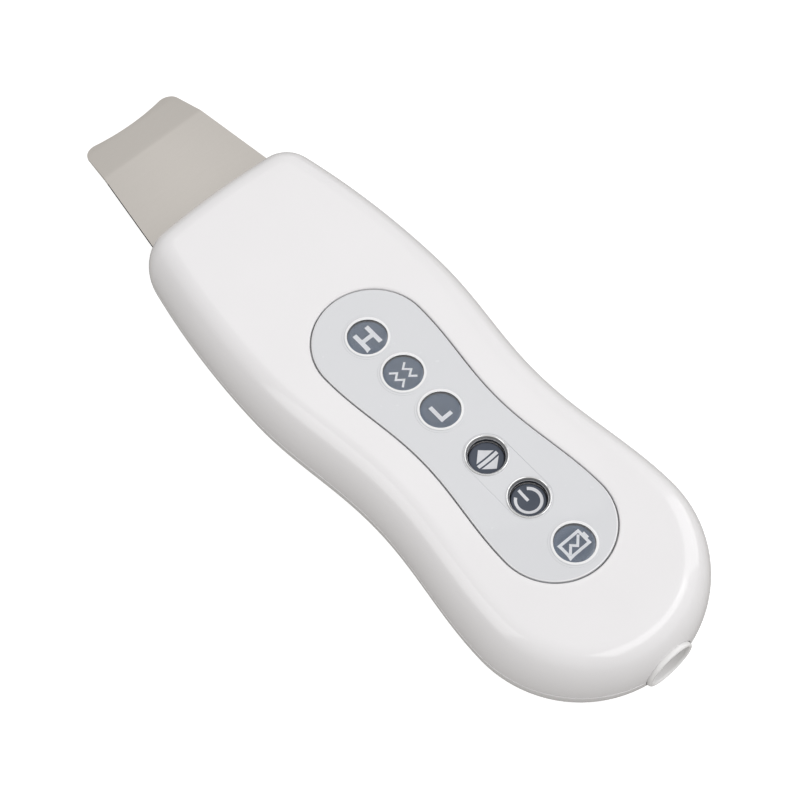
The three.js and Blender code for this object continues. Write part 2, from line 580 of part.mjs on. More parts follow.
// ---- leads, each held at both ends inside the case ----
const LEAD_RADIUS = 0.55;
function lead(name, points, material) {
  const section = new THREE.Shape();
  section.absarc(0, 0, LEAD_RADIUS, 0, 2 * Math.PI, false);
  const route = new THREE.CatmullRomCurve3(points.map(([x, y, z]) => new THREE.Vector3(x, y, z)));
  piece(name, solid(new THREE.ExtrudeGeometry(section, {
    steps: 8, curveSegments: 3, bevelEnabled: false, extrudePath: route,
  })), material);
}
for (const [side, x, material] of [["positive", 4, leadRed], ["negative", 1, leadBlack]]) {
  lead("battery_lead_" + side, [
    [x, BATTERY.front + 0.35, -1.2], [x, BATTERY.front + 2, 0.2],
    [x, BATTERY.front + 3, 2], [x, BATTERY.front + 3, 3.2],
  ], material);
}
for (const [side, x, material] of [["positive", 2.6, leadRed], ["negative", -2.6, leadBlack]]) {
  lead("jack_lead_" + side, [
    [x, JACK.front + 0.35, 0.5], [x, JACK.front + 2, 1.2],
    [x, JACK.front + 4.4, 1.8], [x, JACK.front + 4.6, 3.2],
  ], material);
}
const TRANSDUCER_LEADS = [["drive", 1, 54.9, leadRed], ["return", -1, 52.3, leadBlack]];
for (const [side, hand, endY, material] of TRANSDUCER_LEADS) {
  lead("transducer_lead_" + side, [
    [hand * 1.9, endY, 8], [hand * 6, endY - 2, 7.4], [hand * NOTCH.x, 47, NOTCH.z],
    [hand * NOTCH.x, 42, NOTCH.z], [hand * 8, 37.5, 5.6], [hand * 8, 34, 5.25],
  ], material);
}

// The row frame: origin under the middle of the part, on the plane that it lies on.
handpiece.position.set(0, -(TIP_Y + COLLAR.face) / 2, -BOTTOM_Z);
const scrubber = new THREE.Group();
scrubber.add(handpiece);

export default scrubber;
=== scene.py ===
import math

import bmesh
import bpy
from mathutils import Matrix, Vector


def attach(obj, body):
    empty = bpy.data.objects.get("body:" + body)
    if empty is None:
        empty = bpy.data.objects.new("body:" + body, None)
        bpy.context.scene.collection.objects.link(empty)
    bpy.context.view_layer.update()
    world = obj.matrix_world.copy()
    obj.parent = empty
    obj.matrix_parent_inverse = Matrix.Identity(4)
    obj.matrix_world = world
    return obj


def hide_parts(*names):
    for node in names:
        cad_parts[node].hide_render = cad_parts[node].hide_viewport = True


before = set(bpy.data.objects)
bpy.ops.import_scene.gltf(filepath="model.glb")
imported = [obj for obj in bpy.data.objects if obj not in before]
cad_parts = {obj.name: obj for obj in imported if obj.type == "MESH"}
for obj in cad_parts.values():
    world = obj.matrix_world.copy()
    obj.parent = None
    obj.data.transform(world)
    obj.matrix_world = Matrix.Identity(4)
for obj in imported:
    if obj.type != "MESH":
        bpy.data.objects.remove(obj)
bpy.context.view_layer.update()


# ---- camera ----
# A long lens held high over the rear left of the handpiece, which lies on its back with the blade
# pointing up and to the left.
AZIMUTH, ELEVATION, ROLL = (math.radians(angle) for angle in (-38.4446, 62.3713, -3.0877))
LENS_PLACE, FOCAL_LENGTH = (-0.11600, -0.15288, 0.36223), 88.41
back = Vector((
    math.sin(AZIMUTH) * math.cos(ELEVATION),
    -math.cos(AZIMUTH) * math.cos(ELEVATION),
    math.sin(ELEVATION),
))
level = Vector((math.cos(AZIMUTH), math.sin(AZIMUTH), 0))
upright = back.cross(level)
across = math.cos(ROLL) * level + math.sin(ROLL) * upright
upwards = back.cross(across)
camera = bpy.data.objects.new("camera", bpy.data.cameras.new("camera"))
camera.data.lens = FOCAL_LENGTH
camera.data.clip_start, camera.data.clip_end = 0.01, 20
turned = Matrix((across, upwards, back)).transposed().to_4x4()
camera.matrix_world = Matrix.Translation(LENS_PLACE) @ turned
bpy.context.scene.collection.objects.link(camera)
bpy.context.scene.camera = camera
bpy.context.scene.view_settings.view_transform = "Standard"


# ---- table and light ----
# A plain pale table under a white light tent that is brighter on the right and above, with four
# soft boxes. The table glows, as an opal sheet lit from below does, so it has almost no shadows.
class Link:
    """A socket of a finish that takes part in sums, so that a pattern reads as a formula."""

    def __init__(self, paint, socket):
        self.paint, self.socket = paint, socket

    def worked(self, operation, first, second):
        return self.paint.node("Math", {"operation": operation}, {0: first, 1: second})

    def __add__(self, other):
        return self.worked("ADD", self, other)

    def __sub__(self, other):
        return self.worked("SUBTRACT", self, other)

    def __rsub__(self, other):
        return self.worked("SUBTRACT", other, self)

    def __mul__(self, other):
        return self.worked("MULTIPLY", self, other)

    __radd__, __rmul__ = __add__, __mul__


class Paint:
    """A finish, whose constants sit on the shader and whose nodes vary it over the surface."""

    def __init__(self, name, constants=None, owner=None):
        self.owner = owner or bpy.data.materials.new(name)
        self.owner.use_nodes = True
        self.tree = self.owner.node_tree
        self.shader = self.tree.nodes.get("Principled BSDF")
        self.fill(self.shader, constants or {})

    def fill(self, node, values):
        for key, value in values.items():
            if isinstance(value, Link):
                self.tree.links.new(value.socket, node.inputs[key])
            else:
                node.inputs[key].default_value = value

    def node(self, kind, settings, values, output=0):
        made = self.tree.nodes.new("ShaderNode" + kind)
        stops = settings.pop("stops", None)
        for key, value in settings.items():
            setattr(made, key, value)
        if stops:
            ramp = made.color_ramp.elements
            while len(ramp) < len(stops):
                ramp.new(1)
            for element, (position, colour) in zip(ramp, stops):
                element.position, element.color = position, (*colour, 1)
        self.fill(made, values)
        return Link(self, made.outputs[output])

    def vary(self, **values):
        self.fill(self.shader, {key.replace("_", " "): value for key, value in values.items()})
        return self


def noise(paint, scale, detail, stretch=(1, 1, 1)):
    place = paint.node("TexCoord", {}, {}, "Object")
    mapped = paint.node("Mapping", {}, {"Vector": place, "Scale": stretch})
    return paint.node("TexNoise", {}, {"Vector": mapped, "Scale": scale, "Detail": detail}, "Fac")


def between(paint, share, first, second):
    colours = {6: (*first, 1) if isinstance(first, tuple) else first,
               7: (*second, 1) if isinstance(second, tuple) else second}
    return paint.node("Mix", {"data_type": "RGBA"}, {0: share, **colours}, 2)


def mottle(paint, grain, dark, light):
    """A colour that wanders between two shades, by a noise of a scale and a detail."""
    return between(paint, noise(paint, *grain), dark, light)


def bump(paint, height, distance):
    return paint.node("Bump", {}, {"Height": height, "Distance": distance, "Strength": 1.0})


TABLE_HALF, TABLE_DROP = 3.0, 0.0001
table_mesh = bmesh.new()
bmesh.ops.create_grid(table_mesh, x_segments=1, y_segments=1, size=TABLE_HALF)
table = bpy.data.objects.new("table", bpy.data.meshes.new("table"))
table_mesh.to_mesh(table.data)
table_mesh.free()
table.location.z = -TABLE_DROP
bpy.context.scene.collection.objects.link(table)
# The camera sees a nearly white sheet, and sees it from above only. All other light meets a
# darker sheet with a faint glow, which keeps the flanks from being washed out from below.
opal = Paint("opal_table", {
    "Base Color": (0.27, 0.263, 0.253, 1), "Roughness": 0.6,
    "Emission Color": (1, 0.98, 0.95, 1), "Emission Strength": 0.15,
})
seen = opal.node("LightPath", {}, {}, "Is Camera Ray")
facing = opal.node("NewGeometry", {}, {}, "Backfacing")
glow = opal.node("Emission", {}, {"Strength": 0.80})
sheet = opal.node("BsdfDiffuse", {}, {"Color": (0.42, 0.42, 0.42, 1)})
lit = opal.node("AddShader", {}, {0: glow, 1: sheet})
plain = Link(opal, opal.shader.outputs[0])
from_above = opal.node("MixShader", {}, {0: seen, 1: plain, 2: lit})
clear = opal.node("BsdfTransparent", {}, {})
both = opal.node("MixShader", {}, {0: facing, 1: from_above, 2: clear})
opal.tree.links.new(both.socket, opal.tree.nodes["Material Output"].inputs["Surface"])
table.data.materials.append(opal.owner)

world = bpy.data.worlds.new("tent")
bpy.context.scene.world = world
tent = Paint("tent", owner=world)
BRIGHT_SIDE = Vector((0.42, -0.08, 0.90)).normalized()
direction = tent.node("TexCoord", {}, {}, "Generated")
towards = tent.node("VectorMath", {"operation": "DOT_PRODUCT"},
                    {0: direction, 1: BRIGHT_SIDE}, "Value")
TENT_STOPS = [(0.0, (0.26, 0.245, 0.23)), (0.34, (0.54, 0.525, 0.50)),
              (0.54, (0.93, 0.92, 0.915)), (1.0, (0.96, 0.95, 0.955))]
wall = tent.node("ValToRGB", {"stops": TENT_STOPS}, {0: towards * 0.5 + 0.5})
camera_ray = tent.node("LightPath", {}, {}, "Is Camera Ray")
shade = between(tent, camera_ray, wall, (1.05, 1.05, 1.05))
backdrop = world.node_tree.nodes["Background"]
tent.fill(backdrop, {"Color": shade, "Strength": 0.82})


def soft_box(name, place, aim, size, power):
    lamp = bpy.data.objects.new(name, bpy.data.lights.new(name, "AREA"))
    lamp.data.shape, lamp.data.size, lamp.data.size_y = "RECTANGLE", *size
    lamp.data.energy = power
    lamp.location = place
    lamp.rotation_euler = (Vector(aim) - Vector(place)).to_track_quat("-Z", "Y").to_euler()
    bpy.context.scene.collection.objects.link(lamp)


soft_box("key_box", (0.56, -0.16, 0.30), (0, 0, 0), (0.4, 0.8), 0.95)
soft_box("left_box", (-0.45, 0.10, 0.42), (0, 0, 0), (0.3, 0.5), 0.42)
soft_box("front_box", (0.17, 0.30, 0.57), (0, 0.02, 0), (0.30, 0.28), 0.12)
soft_box("rear_box", (0.12, -0.38, 0.46), (0, -0.03, 0), (0.60, 0.24), 0.66)


# ---- upper shell ----
# The upper half of the case: glossy white ABS, 2 mm thick, moulded in one with its screw bosses,
# ribs and the pocket of the control panel. It closes over the lip of the lower half.
LOBE, LOBE_Y, WAIST = 25.7, 33.8, 22.7
SIDE_ARC, FRONT_ARC, FRONT_Y, CORNER = 192.0, 171.0, 79.5, 8.5
TOP_Z, TOP_ROUND, TOP_POWER = 11.4, 6.7, 2.1
FRONT_SAG, REAR_SAG = 0.6, 0.5
WALL, TRIM = 2.0, 0.014
PANEL_LOBE, PANEL_LOBE_Y, PANEL_WAIST = 12.25, 26.4, 10.0
PANEL_GAP, SEAT_TOP, SEAT_BOTTOM, SEAT_RIM = 0.3, 9.9, 8.3, 2.2
WINDOWS = {"high": 27.9, "pulse": 17.0, "low": 5.9, "battery": -32.2}
BUTTONS = {"mode": -7.5, "power": -19.5}
WINDOW_RADIUS, BUTTON_HOLE = 4.0, 3.8
CASE_SCREWS = {"rear_left": (-19, -33), "rear_right": (19, -33),
               "front_left": (-18.5, 44), "front_right": (18.5, 44)}
BOARD_SCREWS = ((10.5, 32), (-10.5, -36))
BOSS, PILOT, BOARD_BOSS, BOARD_PILOT = 3.1, 1.3, 2.3, 1.1
CRADLES, CRADLE_HALF = ((44, 46), (60, 62)), 16.5
WINDOW_PLAY, POCKET_CUT, NOTCH_X, NOTCH_HALF = 0.3, (7.3, 10.9), 9, 1.3
AXIS_Z = 1.0
# Openings that both halves share: boxes, and bores of a radius about an axis along y.
SLOT_BOX, HORN_BED = (-17.5, 17.5, 74, 82, -0.9, 3.5), (-14.6, 14.6, 55, 66, -6, 8.4)
COLLAR_SEAT, TAIL_BED = (5.85, 0, 0, -62, -50, 96, "Y"), (7.9, 0, AXIS_Z, 40, 50, 64, "Y")
SAME_POINT, SHARP_ANGLE = 1e-5, math.radians(32)
# Sizes are in millimetres from the waist and the parting plane, until a piece is put in its place.
IN_PLACE = Matrix.Diagonal((0.001, 0.001, 0.001, 1)) @ Matrix.Translation((0, -25.2746, 8.3))


def arc(x, y, radius, start, end, steps):
    """Points from one angle to just before another, each with its direction outwards."""
    angles = [start + (end - start) * k / steps for k in range(steps)]
    return [(Vector((x + radius * math.cos(a), y + radius * math.sin(a))),
             Vector((math.cos(a), math.sin(a)))) for a in angles]


def flank(waist, lobe, lobe_y, steps):
    """The waisted side between two lobes, which follows a cosine."""
    stations = []
    for k in range(steps):
        y = lobe_y * (2 * k / steps - 1)
        swing = math.pi * y / lobe_y
        slope = (lobe - waist) * math.pi / lobe_y * math.sin(swing) / 2
        x = (lobe + waist - (lobe - waist) * math.cos(swing)) / 2
        stations.append((Vector((x, y)), Vector((1, -slope)).normalized()))
    return stations


def all_round(right, front_y):
    """The stations of a right half, from the rear end forwards, and of its mirror image."""
    right = [*right, (Vector((0, front_y)), Vector((0, 1)))]
    flip = Vector((-1, 1))
    return right + [(at * flip, out * flip) for at, out in reversed(right[1:-1])]


def housing_outline():
    """The case from above: a round rear, waisted flanks and an arched front with round corners."""
    side, front = Vector((LOBE - SIDE_ARC, LOBE_Y)), Vector((0, FRONT_Y - FRONT_ARC))
    a, b, line = SIDE_ARC - CORNER, FRONT_ARC - CORNER, front - side
    along = (a * a - b * b + line.length_squared) / (2 * line.length)
    unit = line.normalized()
    corner = side + along * unit + math.sqrt(a * a - along * along) * Vector((-unit.y, unit.x))
    turn = [math.atan2(*(corner - centre).yx) for centre in (side, front)]
    return all_round(
        arc(0, -LOBE_Y, LOBE, -math.pi / 2, 0, 24)
        + flank(WAIST, LOBE, LOBE_Y, 28)
        + arc(*side, SIDE_ARC, 0, turn[0], 14)
        + arc(*corner, CORNER, *turn, 12)
        + arc(*front, FRONT_ARC, turn[1], math.pi / 2, 8),
        FRONT_Y,
    )


housing = housing_outline()
panel = all_round(
    arc(0, -PANEL_LOBE_Y, PANEL_LOBE, -math.pi / 2, 0, 24)
    + flank(PANEL_WAIST, PANEL_LOBE, PANEL_LOBE_Y, 28)
    + arc(0, PANEL_LOBE_Y, PANEL_LOBE, 0, math.pi / 2, 34),
    PANEL_LOBE_Y + PANEL_LOBE,
)


def top_height(y):
    if y > PANEL_LOBE_Y:
        return TOP_Z - FRONT_SAG * ((y - PANEL_LOBE_Y) / (FRONT_Y - PANEL_LOBE_Y)) ** 2
    return TOP_Z - REAR_SAG * (min(y + LOBE_Y, 0) / LOBE) ** 2


def around(stations, inset, height):
    """A ring that lies inset from an outline, at a height that may depend on y."""
    ring = [at - inset * out for at, out in stations]
    return [Vector((p.x, p.y, height(p.y) if callable(height) else height)) for p in ring]


def rounding(height, reach, power, start, steps):
    """Insets, and shares of the height, up a rounded edge from the height start to the flat."""
    low = math.asin((start / height) ** (power / 2))
    angles = [low + (math.pi / 2 - low) * k / steps for k in range(steps + 1)]
    return [(reach * (1 - abs(math.cos(a)) ** (2 / power)), math.sin(a) ** (2 / power))
            for a in angles]


def loft(rings):
    """A closed skin through rings of points. Each ring is extruded from the one before."""
    bm = bmesh.new()
    verts = [bm.verts.new(point) for point in rings[0]]
    edges = [bm.edges.new(pair) for pair in zip(verts, verts[1:] + verts[:1])]
    bmesh.ops.edgeloop_fill(bm, edges=edges)
    for points in rings[1:]:
        grown = bmesh.ops.extrude_edge_only(bm, edges=edges)["geom"]
        fresh = {v for v in grown if isinstance(v, bmesh.types.BMVert)}
        verts = [next(e.other_vert(v) for e in v.link_edges if e.other_vert(v) in fresh)
                 for v in verts]
        for vert, point in zip(verts, points):
            vert.co = point
        edges = [bm.edges.get(pair) for pair in zip(verts, verts[1:] + verts[:1])]
    bmesh.ops.edgeloop_fill(bm, edges=edges)
    bmesh.ops.recalc_face_normals(bm, faces=bm.faces)
    return bm


def rod(radius, x, y, low, high, sides=48, along="Z"):
    """A round bar along Z, or along Y, where y is its height and low and high are places in y."""
    bm = bmesh.new()
    turn = Matrix.Rotation(math.pi / 2, 4, "X") if along == "Y" else Matrix.Identity(4)
    middle = (x, (low + high) / 2, y) if along == "Y" else (x, y, (low + high) / 2)
    bmesh.ops.create_cone(bm, cap_ends=True, segments=sides, radius1=radius, radius2=radius,
                          depth=high - low, matrix=Matrix.Translation(middle) @ turn)
    return bm


def block(x0, x1, y0, y1, z0, z1, round_edges=0.0):
    bm = bmesh.new()
    middle = Matrix.Translation(((x0 + x1) / 2, (y0 + y1) / 2, (z0 + z1) / 2))
    size = Matrix.Diagonal((x1 - x0, y1 - y0, z1 - z0, 1))
    bmesh.ops.create_cube(bm, size=1, matrix=middle @ size)
    if round_edges:
        bmesh.ops.bevel(bm, geom=bm.edges[:], offset=round_edges, segments=3, profile=0.5,
                        affect="EDGES", material=-1)
    return bm


def spun(profile, x=0, y=0, steps=72, along="Z"):
    """A profile of (radius, height) points turned all the way round its own upright axis."""
    bm = bmesh.new()
    verts = [bm.verts.new((radius, 0, height)) for radius, height in profile]
    edges = [bm.edges.new(pair) for pair in zip(verts, verts[1:])]
    bmesh.ops.spin(bm, geom=verts + edges, cent=(0, 0, 0), axis=(0, 0, 1), angle=2 * math.pi,
                   steps=steps, use_merge=True)
    bmesh.ops.remove_doubles(bm, verts=bm.verts, dist=SAME_POINT)
    if along == "Y":
        bmesh.ops.rotate(bm, verts=bm.verts, matrix=Matrix.Rotation(-math.pi / 2, 3, "X"))
    bmesh.ops.translate(bm, verts=bm.verts, vec=(x, 0, y) if along == "Y" else (x, y, 0))
    bmesh.ops.recalc_face_normals(bm, faces=bm.faces)
    return bm


def shaped(bm, added=(), cut=()):
    """Joins solids to a mesh and takes others from it."""
    scene = bpy.context.scene.collection
    spare, groups = [], []

    def temporary(solid, home):
        thing = bpy.data.objects.new("blank", bpy.data.meshes.new("blank"))
        solid.to_mesh(thing.data)
        solid.free()
        home.objects.link(thing)
        spare.append(thing)
        return thing

    base = temporary(bm, scene)
    for operation, solids in (("UNION", added), ("DIFFERENCE", cut)):
        if solids:
            group = bpy.data.collections.new("blanks")
            scene.children.link(group)
            groups.append(group)
            for solid in solids:
                temporary(solid, group)
            step = base.modifiers.new(operation, "BOOLEAN")
            step.operation, step.solver = operation, "EXACT"
            step.operand_type, step.collection = "COLLECTION", group
    result = bmesh.new()
    bpy.context.view_layer.update()
    result.from_mesh(base.evaluated_get(bpy.context.evaluated_depsgraph_get()).to_mesh())
    for thing in spare:
        bpy.data.objects.remove(thing)
    for group in groups:
        bpy.data.collections.remove(group)
    return result


def put(bm, name, finishes, body="handpiece", replaces=()):
    """Scales a mesh to metres, sets it in its place and makes it a piece that rides on a body."""
    bmesh.ops.remove_doubles(bm, verts=bm.verts, dist=SAME_POINT)
    bmesh.ops.transform(bm, matrix=IN_PLACE, verts=bm.verts)
    mesh = bpy.data.meshes.new(name)
    bm.to_mesh(mesh)
    bm.free()
    mesh.shade_smooth()
    mesh.set_sharp_from_angle(angle=SHARP_ANGLE)
    made = bpy.data.objects.new(name, mesh)
    bpy.context.scene.collection.objects.link(made)
    for finish in finishes:
        mesh.materials.append(finish.owner)
    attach(made, body)
    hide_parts(*replaces)
    return made


EDGE_START, GROOVE_INSET, GROOVE_TOP = 0.5, 1.0, 1.7
PLATEAU_STEPS, POCKET_ROUND, PARTING_GAP = 9, 0.55, 0.1
# The soft rims of the panel's pocket, as (outwards, below the top), and of the parting line, as
# (inwards, away from it).
POCKET_EDGE = ((0, 0.30), (0.05, 0.17), (0.16, 0.07), (0.32, 0.02))
PARTING_EDGE = ((0, 0.3), (0.04, 0.17), (0.16, PARTING_GAP))
upper_edge = rounding(TOP_Z, TOP_ROUND, TOP_POWER, EDGE_START, 16)
upper_rings = [around(panel, -PANEL_GAP, SEAT_TOP)]
for outwards, sink in (*POCKET_EDGE, (POCKET_ROUND, 0)):
    upper_rings.append(around(panel, -PANEL_GAP - outwards, lambda y: top_height(y) - sink))
pocket_edge = around(panel, -PANEL_GAP - POCKET_ROUND, 0)
plateau_edge = around(housing, TOP_ROUND + TRIM, 0)
for k in range(1, PLATEAU_STEPS):
    points = [a.lerp(b, k / PLATEAU_STEPS) for a, b in zip(pocket_edge, plateau_edge)]
    upper_rings.append([Vector((p.x, p.y, top_height(p.y))) for p in points])
for inset, share in reversed(upper_edge):
    upper_rings.append(around(housing, inset + TRIM, lambda y: share * top_height(y)))
for inset, height in (*PARTING_EDGE, (GROOVE_INSET, PARTING_GAP), (GROOVE_INSET, GROOVE_TOP)):
    upper_rings.append(around(housing, inset + TRIM, height))
for inset, share in rounding(TOP_Z - WALL, TOP_ROUND - WALL, TOP_POWER, GROOVE_TOP, 8):
    upper_rings.append(around(housing, WALL + inset, lambda y: share * (top_height(y) - WALL)))
upper_rings.append(around(panel, -SEAT_RIM, lambda y: top_height(y) - WALL))
upper_rings.append(around(panel, -SEAT_RIM, SEAT_BOTTOM))


def through_cuts():
    """The blade slot, the seat of the socket collar and the beds of the transducer."""
    return [block(*SLOT_BOX), rod(*COLLAR_SEAT), rod(*TAIL_BED), block(*HORN_BED)]


white_abs = Paint("gloss_white_abs", {
    "Specular IOR Level": 0.5, "Coat Roughness": 0.09, "Coat Weight": 0.8,
})
clouds = noise(white_abs, 60, 3)
white_abs.vary(
    Base_Color=between(white_abs, clouds, (0.770, 0.762, 0.768), (0.800, 0.792, 0.798)),
    Roughness=0.12 + 0.08 * noise(white_abs, 300, 4),
    Normal=bump(white_abs, noise(white_abs, 420, 2), 0.000012),
)
upper = shaped(
    loft(upper_rings),
    added=[rod(BOSS, x, y, 0.6, 9.6) for x, y in CASE_SCREWS.values()]
    + [rod(BOARD_BOSS, x, y, 4.7, 8.7) for x, y in BOARD_SCREWS]
    + [block(-CRADLE_HALF, CRADLE_HALF, y0, y1, 0.6, 9.8) for y0, y1 in CRADLES],
    cut=[rod(WINDOW_RADIUS + WINDOW_PLAY, 0, y, *POCKET_CUT, 64) for y in WINDOWS.values()]
    + [rod(BUTTON_HOLE, 0, y, *POCKET_CUT, 64) for y in BUTTONS.values()]
    + [rod(PILOT, x, y, -1, 6, 24) for x, y in CASE_SCREWS.values()]
    + [rod(BOARD_PILOT, x, y, 3, 7.6, 24) for x, y in BOARD_SCREWS]
    + [block(x - NOTCH_HALF, x + NOTCH_HALF, 43, 47, 4.7, 7.3) for x in (-NOTCH_X, NOTCH_X)]
    + through_cuts(),
)
put(upper, "upper_housing", [white_abs], replaces=["upper_shell"])


# ---- lower shell ----
# The lower half of the same white ABS, with a flat underside to lie on, a lip that locates the
# upper half, four screw bosses and the rests of the cell and the jack.
BOTTOM_Z, BOTTOM_ROUND, BOTTOM_POWER = -8.3, 6.2, 2.25
BOTTOM_FLAT, LIP_INSET, LIP_TOP = 0.7, 1.2, 1.4
SCREW_SEAT, RECESS, RECESS_EDGE, CUT_LOW = -5.2, 2.5, 0.2, -9
JACK_REST, CELL_STOP = (-4, 4, -50, -46, -7, -4.6), (-9, 9, 8.6, 10, -7, -2)
lower_rings = [around(housing, BOTTOM_ROUND + BOTTOM_FLAT, BOTTOM_Z)]
for inset, share in reversed(rounding(-BOTTOM_Z, BOTTOM_ROUND, BOTTOM_POWER, EDGE_START, 14)):
    lower_rings.append(around(housing, inset + TRIM, share * BOTTOM_Z))
lip = ((LIP_INSET, PARTING_GAP), (LIP_INSET, -LIP_TOP), (WALL, -LIP_TOP))
for inset, depth in (*PARTING_EDGE, *lip):
    lower_rings.append(around(housing, inset + TRIM, -depth))
for inset, share in rounding(-BOTTOM_Z - WALL, BOTTOM_ROUND - WALL, BOTTOM_POWER, 0.3, 8):
    lower_rings.append(around(housing, WALL + TRIM + inset, share * (BOTTOM_Z + WALL)))
recess = [
    (0, CUT_LOW), (RECESS + 0.9, CUT_LOW), (RECESS + RECESS_EDGE, BOTTOM_Z),
    (RECESS, BOTTOM_Z + RECESS_EDGE), (RECESS, SCREW_SEAT), (0, SCREW_SEAT),
]
lower = shaped(
    loft(lower_rings),
    added=[rod(BOSS, x, y, -7.2, -0.2) for x, y in CASE_SCREWS.values()]
    + [block(*JACK_REST), block(*CELL_STOP)]
    + [block(-CRADLE_HALF, CRADLE_HALF, y0, y1, -7, -0.6) for y0, y1 in CRADLES],
    cut=[spun(recess, x, y, 48) for x, y in CASE_SCREWS.values()]
    + [rod(PILOT, x, y, CUT_LOW, 0.5, 24) for x, y in CASE_SCREWS.values()]
    + through_cuts(),
)
put(lower, "lower_housing", [white_abs], replaces=["lower_shell"])


# ---- control panel ----
# A peanut-shaped acrylic lens, 1 mm thick, printed pale grey on its back and held by an adhesive
# sheet. Its edge is rounded, and a low ringed dome stands over each of the four windows.
PANEL_BACK, PANEL_EDGE = 10.4, 0.32
DOME_FOOT, DOME_STEP = 5.15, 0.05
WINDOW_CLEAR, BEZEL_OPENING, LENS_CUT = 4.12, 4.75, (9, 13)
WALL_LEAN, SLOPE_LEAN, PAINTED_HIGHLIGHT_TO = 0.3, 0.97, 4.5
# Each dome is a narrow flat ring and, inside it, a soft shoulder up to the nearly level middle.
DOME_RISES = (
    (4.72, 0.05), (4.67, 0.13), (4.56, 0.19), (4.36, 0.215), (4.12, 0.205), (4.0, 0.24),
    (3.9, 0.278), (3.8, 0.315), (3.7, 0.347), (3.6, 0.372), (3.45, 0.398), (3.25, 0.415),
    (2.9, 0.425), (2.2, 0.43), (0, 0.43),
)
dome_curve = [(radius, TOP_Z + rise) for radius, rise in DOME_RISES]
panel_rings = [around(panel, 0, PANEL_BACK)]
for k in range(5):
    a = math.pi / 2 * k / 4
    inset, sink = PANEL_EDGE * (1 - math.cos(a)), PANEL_EDGE * (1 - math.sin(a))
    panel_rings.append(around(panel, inset, TOP_Z - sink))
panel_rings.append(around(panel, PANEL_EDGE + 0.25, TOP_Z))


def stadium(half, low, high, edge=0.0):
    """A long round-ended plate about the two buttons."""
    front, rear = BUTTONS["mode"], BUTTONS["power"]
    ends = arc(0, rear, half, -math.pi, 0, 48) + arc(0, front, half, 0, math.pi, 48)
    rings = [around(ends, 0, low), around(ends, 0, high - edge)]
    if edge:
        rings += [around(ends, edge * 0.3, high - edge * 0.3)]
        rings += [around(ends, edge, high), around(ends, edge * 2, high)]
    return loft(rings)


ringed_dome = [
    (0, TOP_Z - 0.5), (DOME_FOOT, TOP_Z - 0.5), (DOME_FOOT, TOP_Z + 0.005),
    (DOME_FOOT - 0.05, TOP_Z + DOME_STEP), (DOME_RISES[0][0] + 0.06, TOP_Z + DOME_STEP),
    *dome_curve,
]
panel_grey = Paint("panel_print", {
    "Specular IOR Level": 0.5, "Coat Weight": 1.0, "Coat Roughness": 0.03,
})
panel_grey.vary(
    Base_Color=mottle(panel_grey, (90, 3), (0.632, 0.642, 0.660), (0.652, 0.662, 0.680)),
    Roughness=0.20 + 0.1 * noise(panel_grey, 500, 2),
    Normal=bump(panel_grey, noise(panel_grey, 350, 1), 0.000008),
)
# The white walls of the window holes glow by emission: a painted glow standing in for light on
# them.
hole_wall_painted_glow = Paint("hole_wall_painted_light", {
    "Coat Weight": 0.5, "Coat Roughness": 0.05,
    "Emission Color": (1, 1, 1, 1), "Emission Strength": 0.7,
})
hole_wall_painted_glow.vary(
    Base_Color=mottle(hole_wall_painted_glow, (200, 2), (0.84, 0.85, 0.86), (0.88, 0.89, 0.90)),
    Roughness=0.25 + 0.1 * noise(hole_wall_painted_glow, 600, 2),
)
# A lighter grey than the print, which paints a highlight on the lens's rounded edge and round the
# domes.
lens_edge_painted_highlight = Paint("lens_edge_painted_highlight", {"Coat Weight": 1.0, "Coat Roughness": 0.03})
lens_edge_painted_highlight.vary(
    Base_Color=mottle(lens_edge_painted_highlight, (300, 2), (0.78, 0.785, 0.79), (0.83, 0.835, 0.84)),
    Roughness=0.14 + 0.08 * noise(lens_edge_painted_highlight, 600, 2),
)
lens = shaped(
    loft(panel_rings),
    added=[spun(ringed_dome, 0, y, 96) for y in WINDOWS.values()],
    cut=[rod(WINDOW_CLEAR, 0, y, *LENS_CUT, 96) for y in WINDOWS.values()]
    + [stadium(BEZEL_OPENING, *LENS_CUT)],
)
# The windows' walls get a painted glow, the rounded edges and the ringed domes a painted highlight.
for face in lens.faces:
    spot = face.calc_center_median()
    away = min(math.hypot(spot.x, spot.y - y) for y in WINDOWS.values())
    outer_edge = away > DOME_FOOT + 0.1 and WALL_LEAN < face.normal.z < SLOPE_LEAN
    if away < WINDOW_CLEAR + 0.01 and abs(face.normal.z) < WALL_LEAN:
        face.material_index = 1
    elif away < PAINTED_HIGHLIGHT_TO or outer_edge:
        face.material_index = 2
put(lens, "panel_lens", [panel_grey, hole_wall_painted_glow, lens_edge_painted_highlight],
    replaces=["control_panel"])


# ---- window domes ----
# The clear middle of the lens over each window: polished acrylic, flat behind and domed in
# front. It laps a hair into the printed lens, so that no gap shows between the two.
DOME_LAP, DOME_BACK, DOME_SIDE = 0.03, TOP_Z - 0.7, TOP_Z + 0.195
clear_acrylic = Paint("clear_acrylic", {
    "Base Color": (0.985, 0.99, 0.995, 1), "Roughness": 0.0,
    "IOR": 1.49, "Transmission Weight": 1.0,
})
clear_acrylic.vary(Normal=bump(clear_acrylic, noise(clear_acrylic, 900, 1), 0.000002))
edge = WINDOW_CLEAR + DOME_LAP
shoulder = [(radius, height) for radius, height in dome_curve if radius < WINDOW_CLEAR]
for name, y in WINDOWS.items():
    dome = spun([(0, DOME_BACK), (edge, DOME_BACK), (edge, DOME_SIDE), *shoulder], 0, y, 96)
    put(dome, name + "_dome", [clear_acrylic])
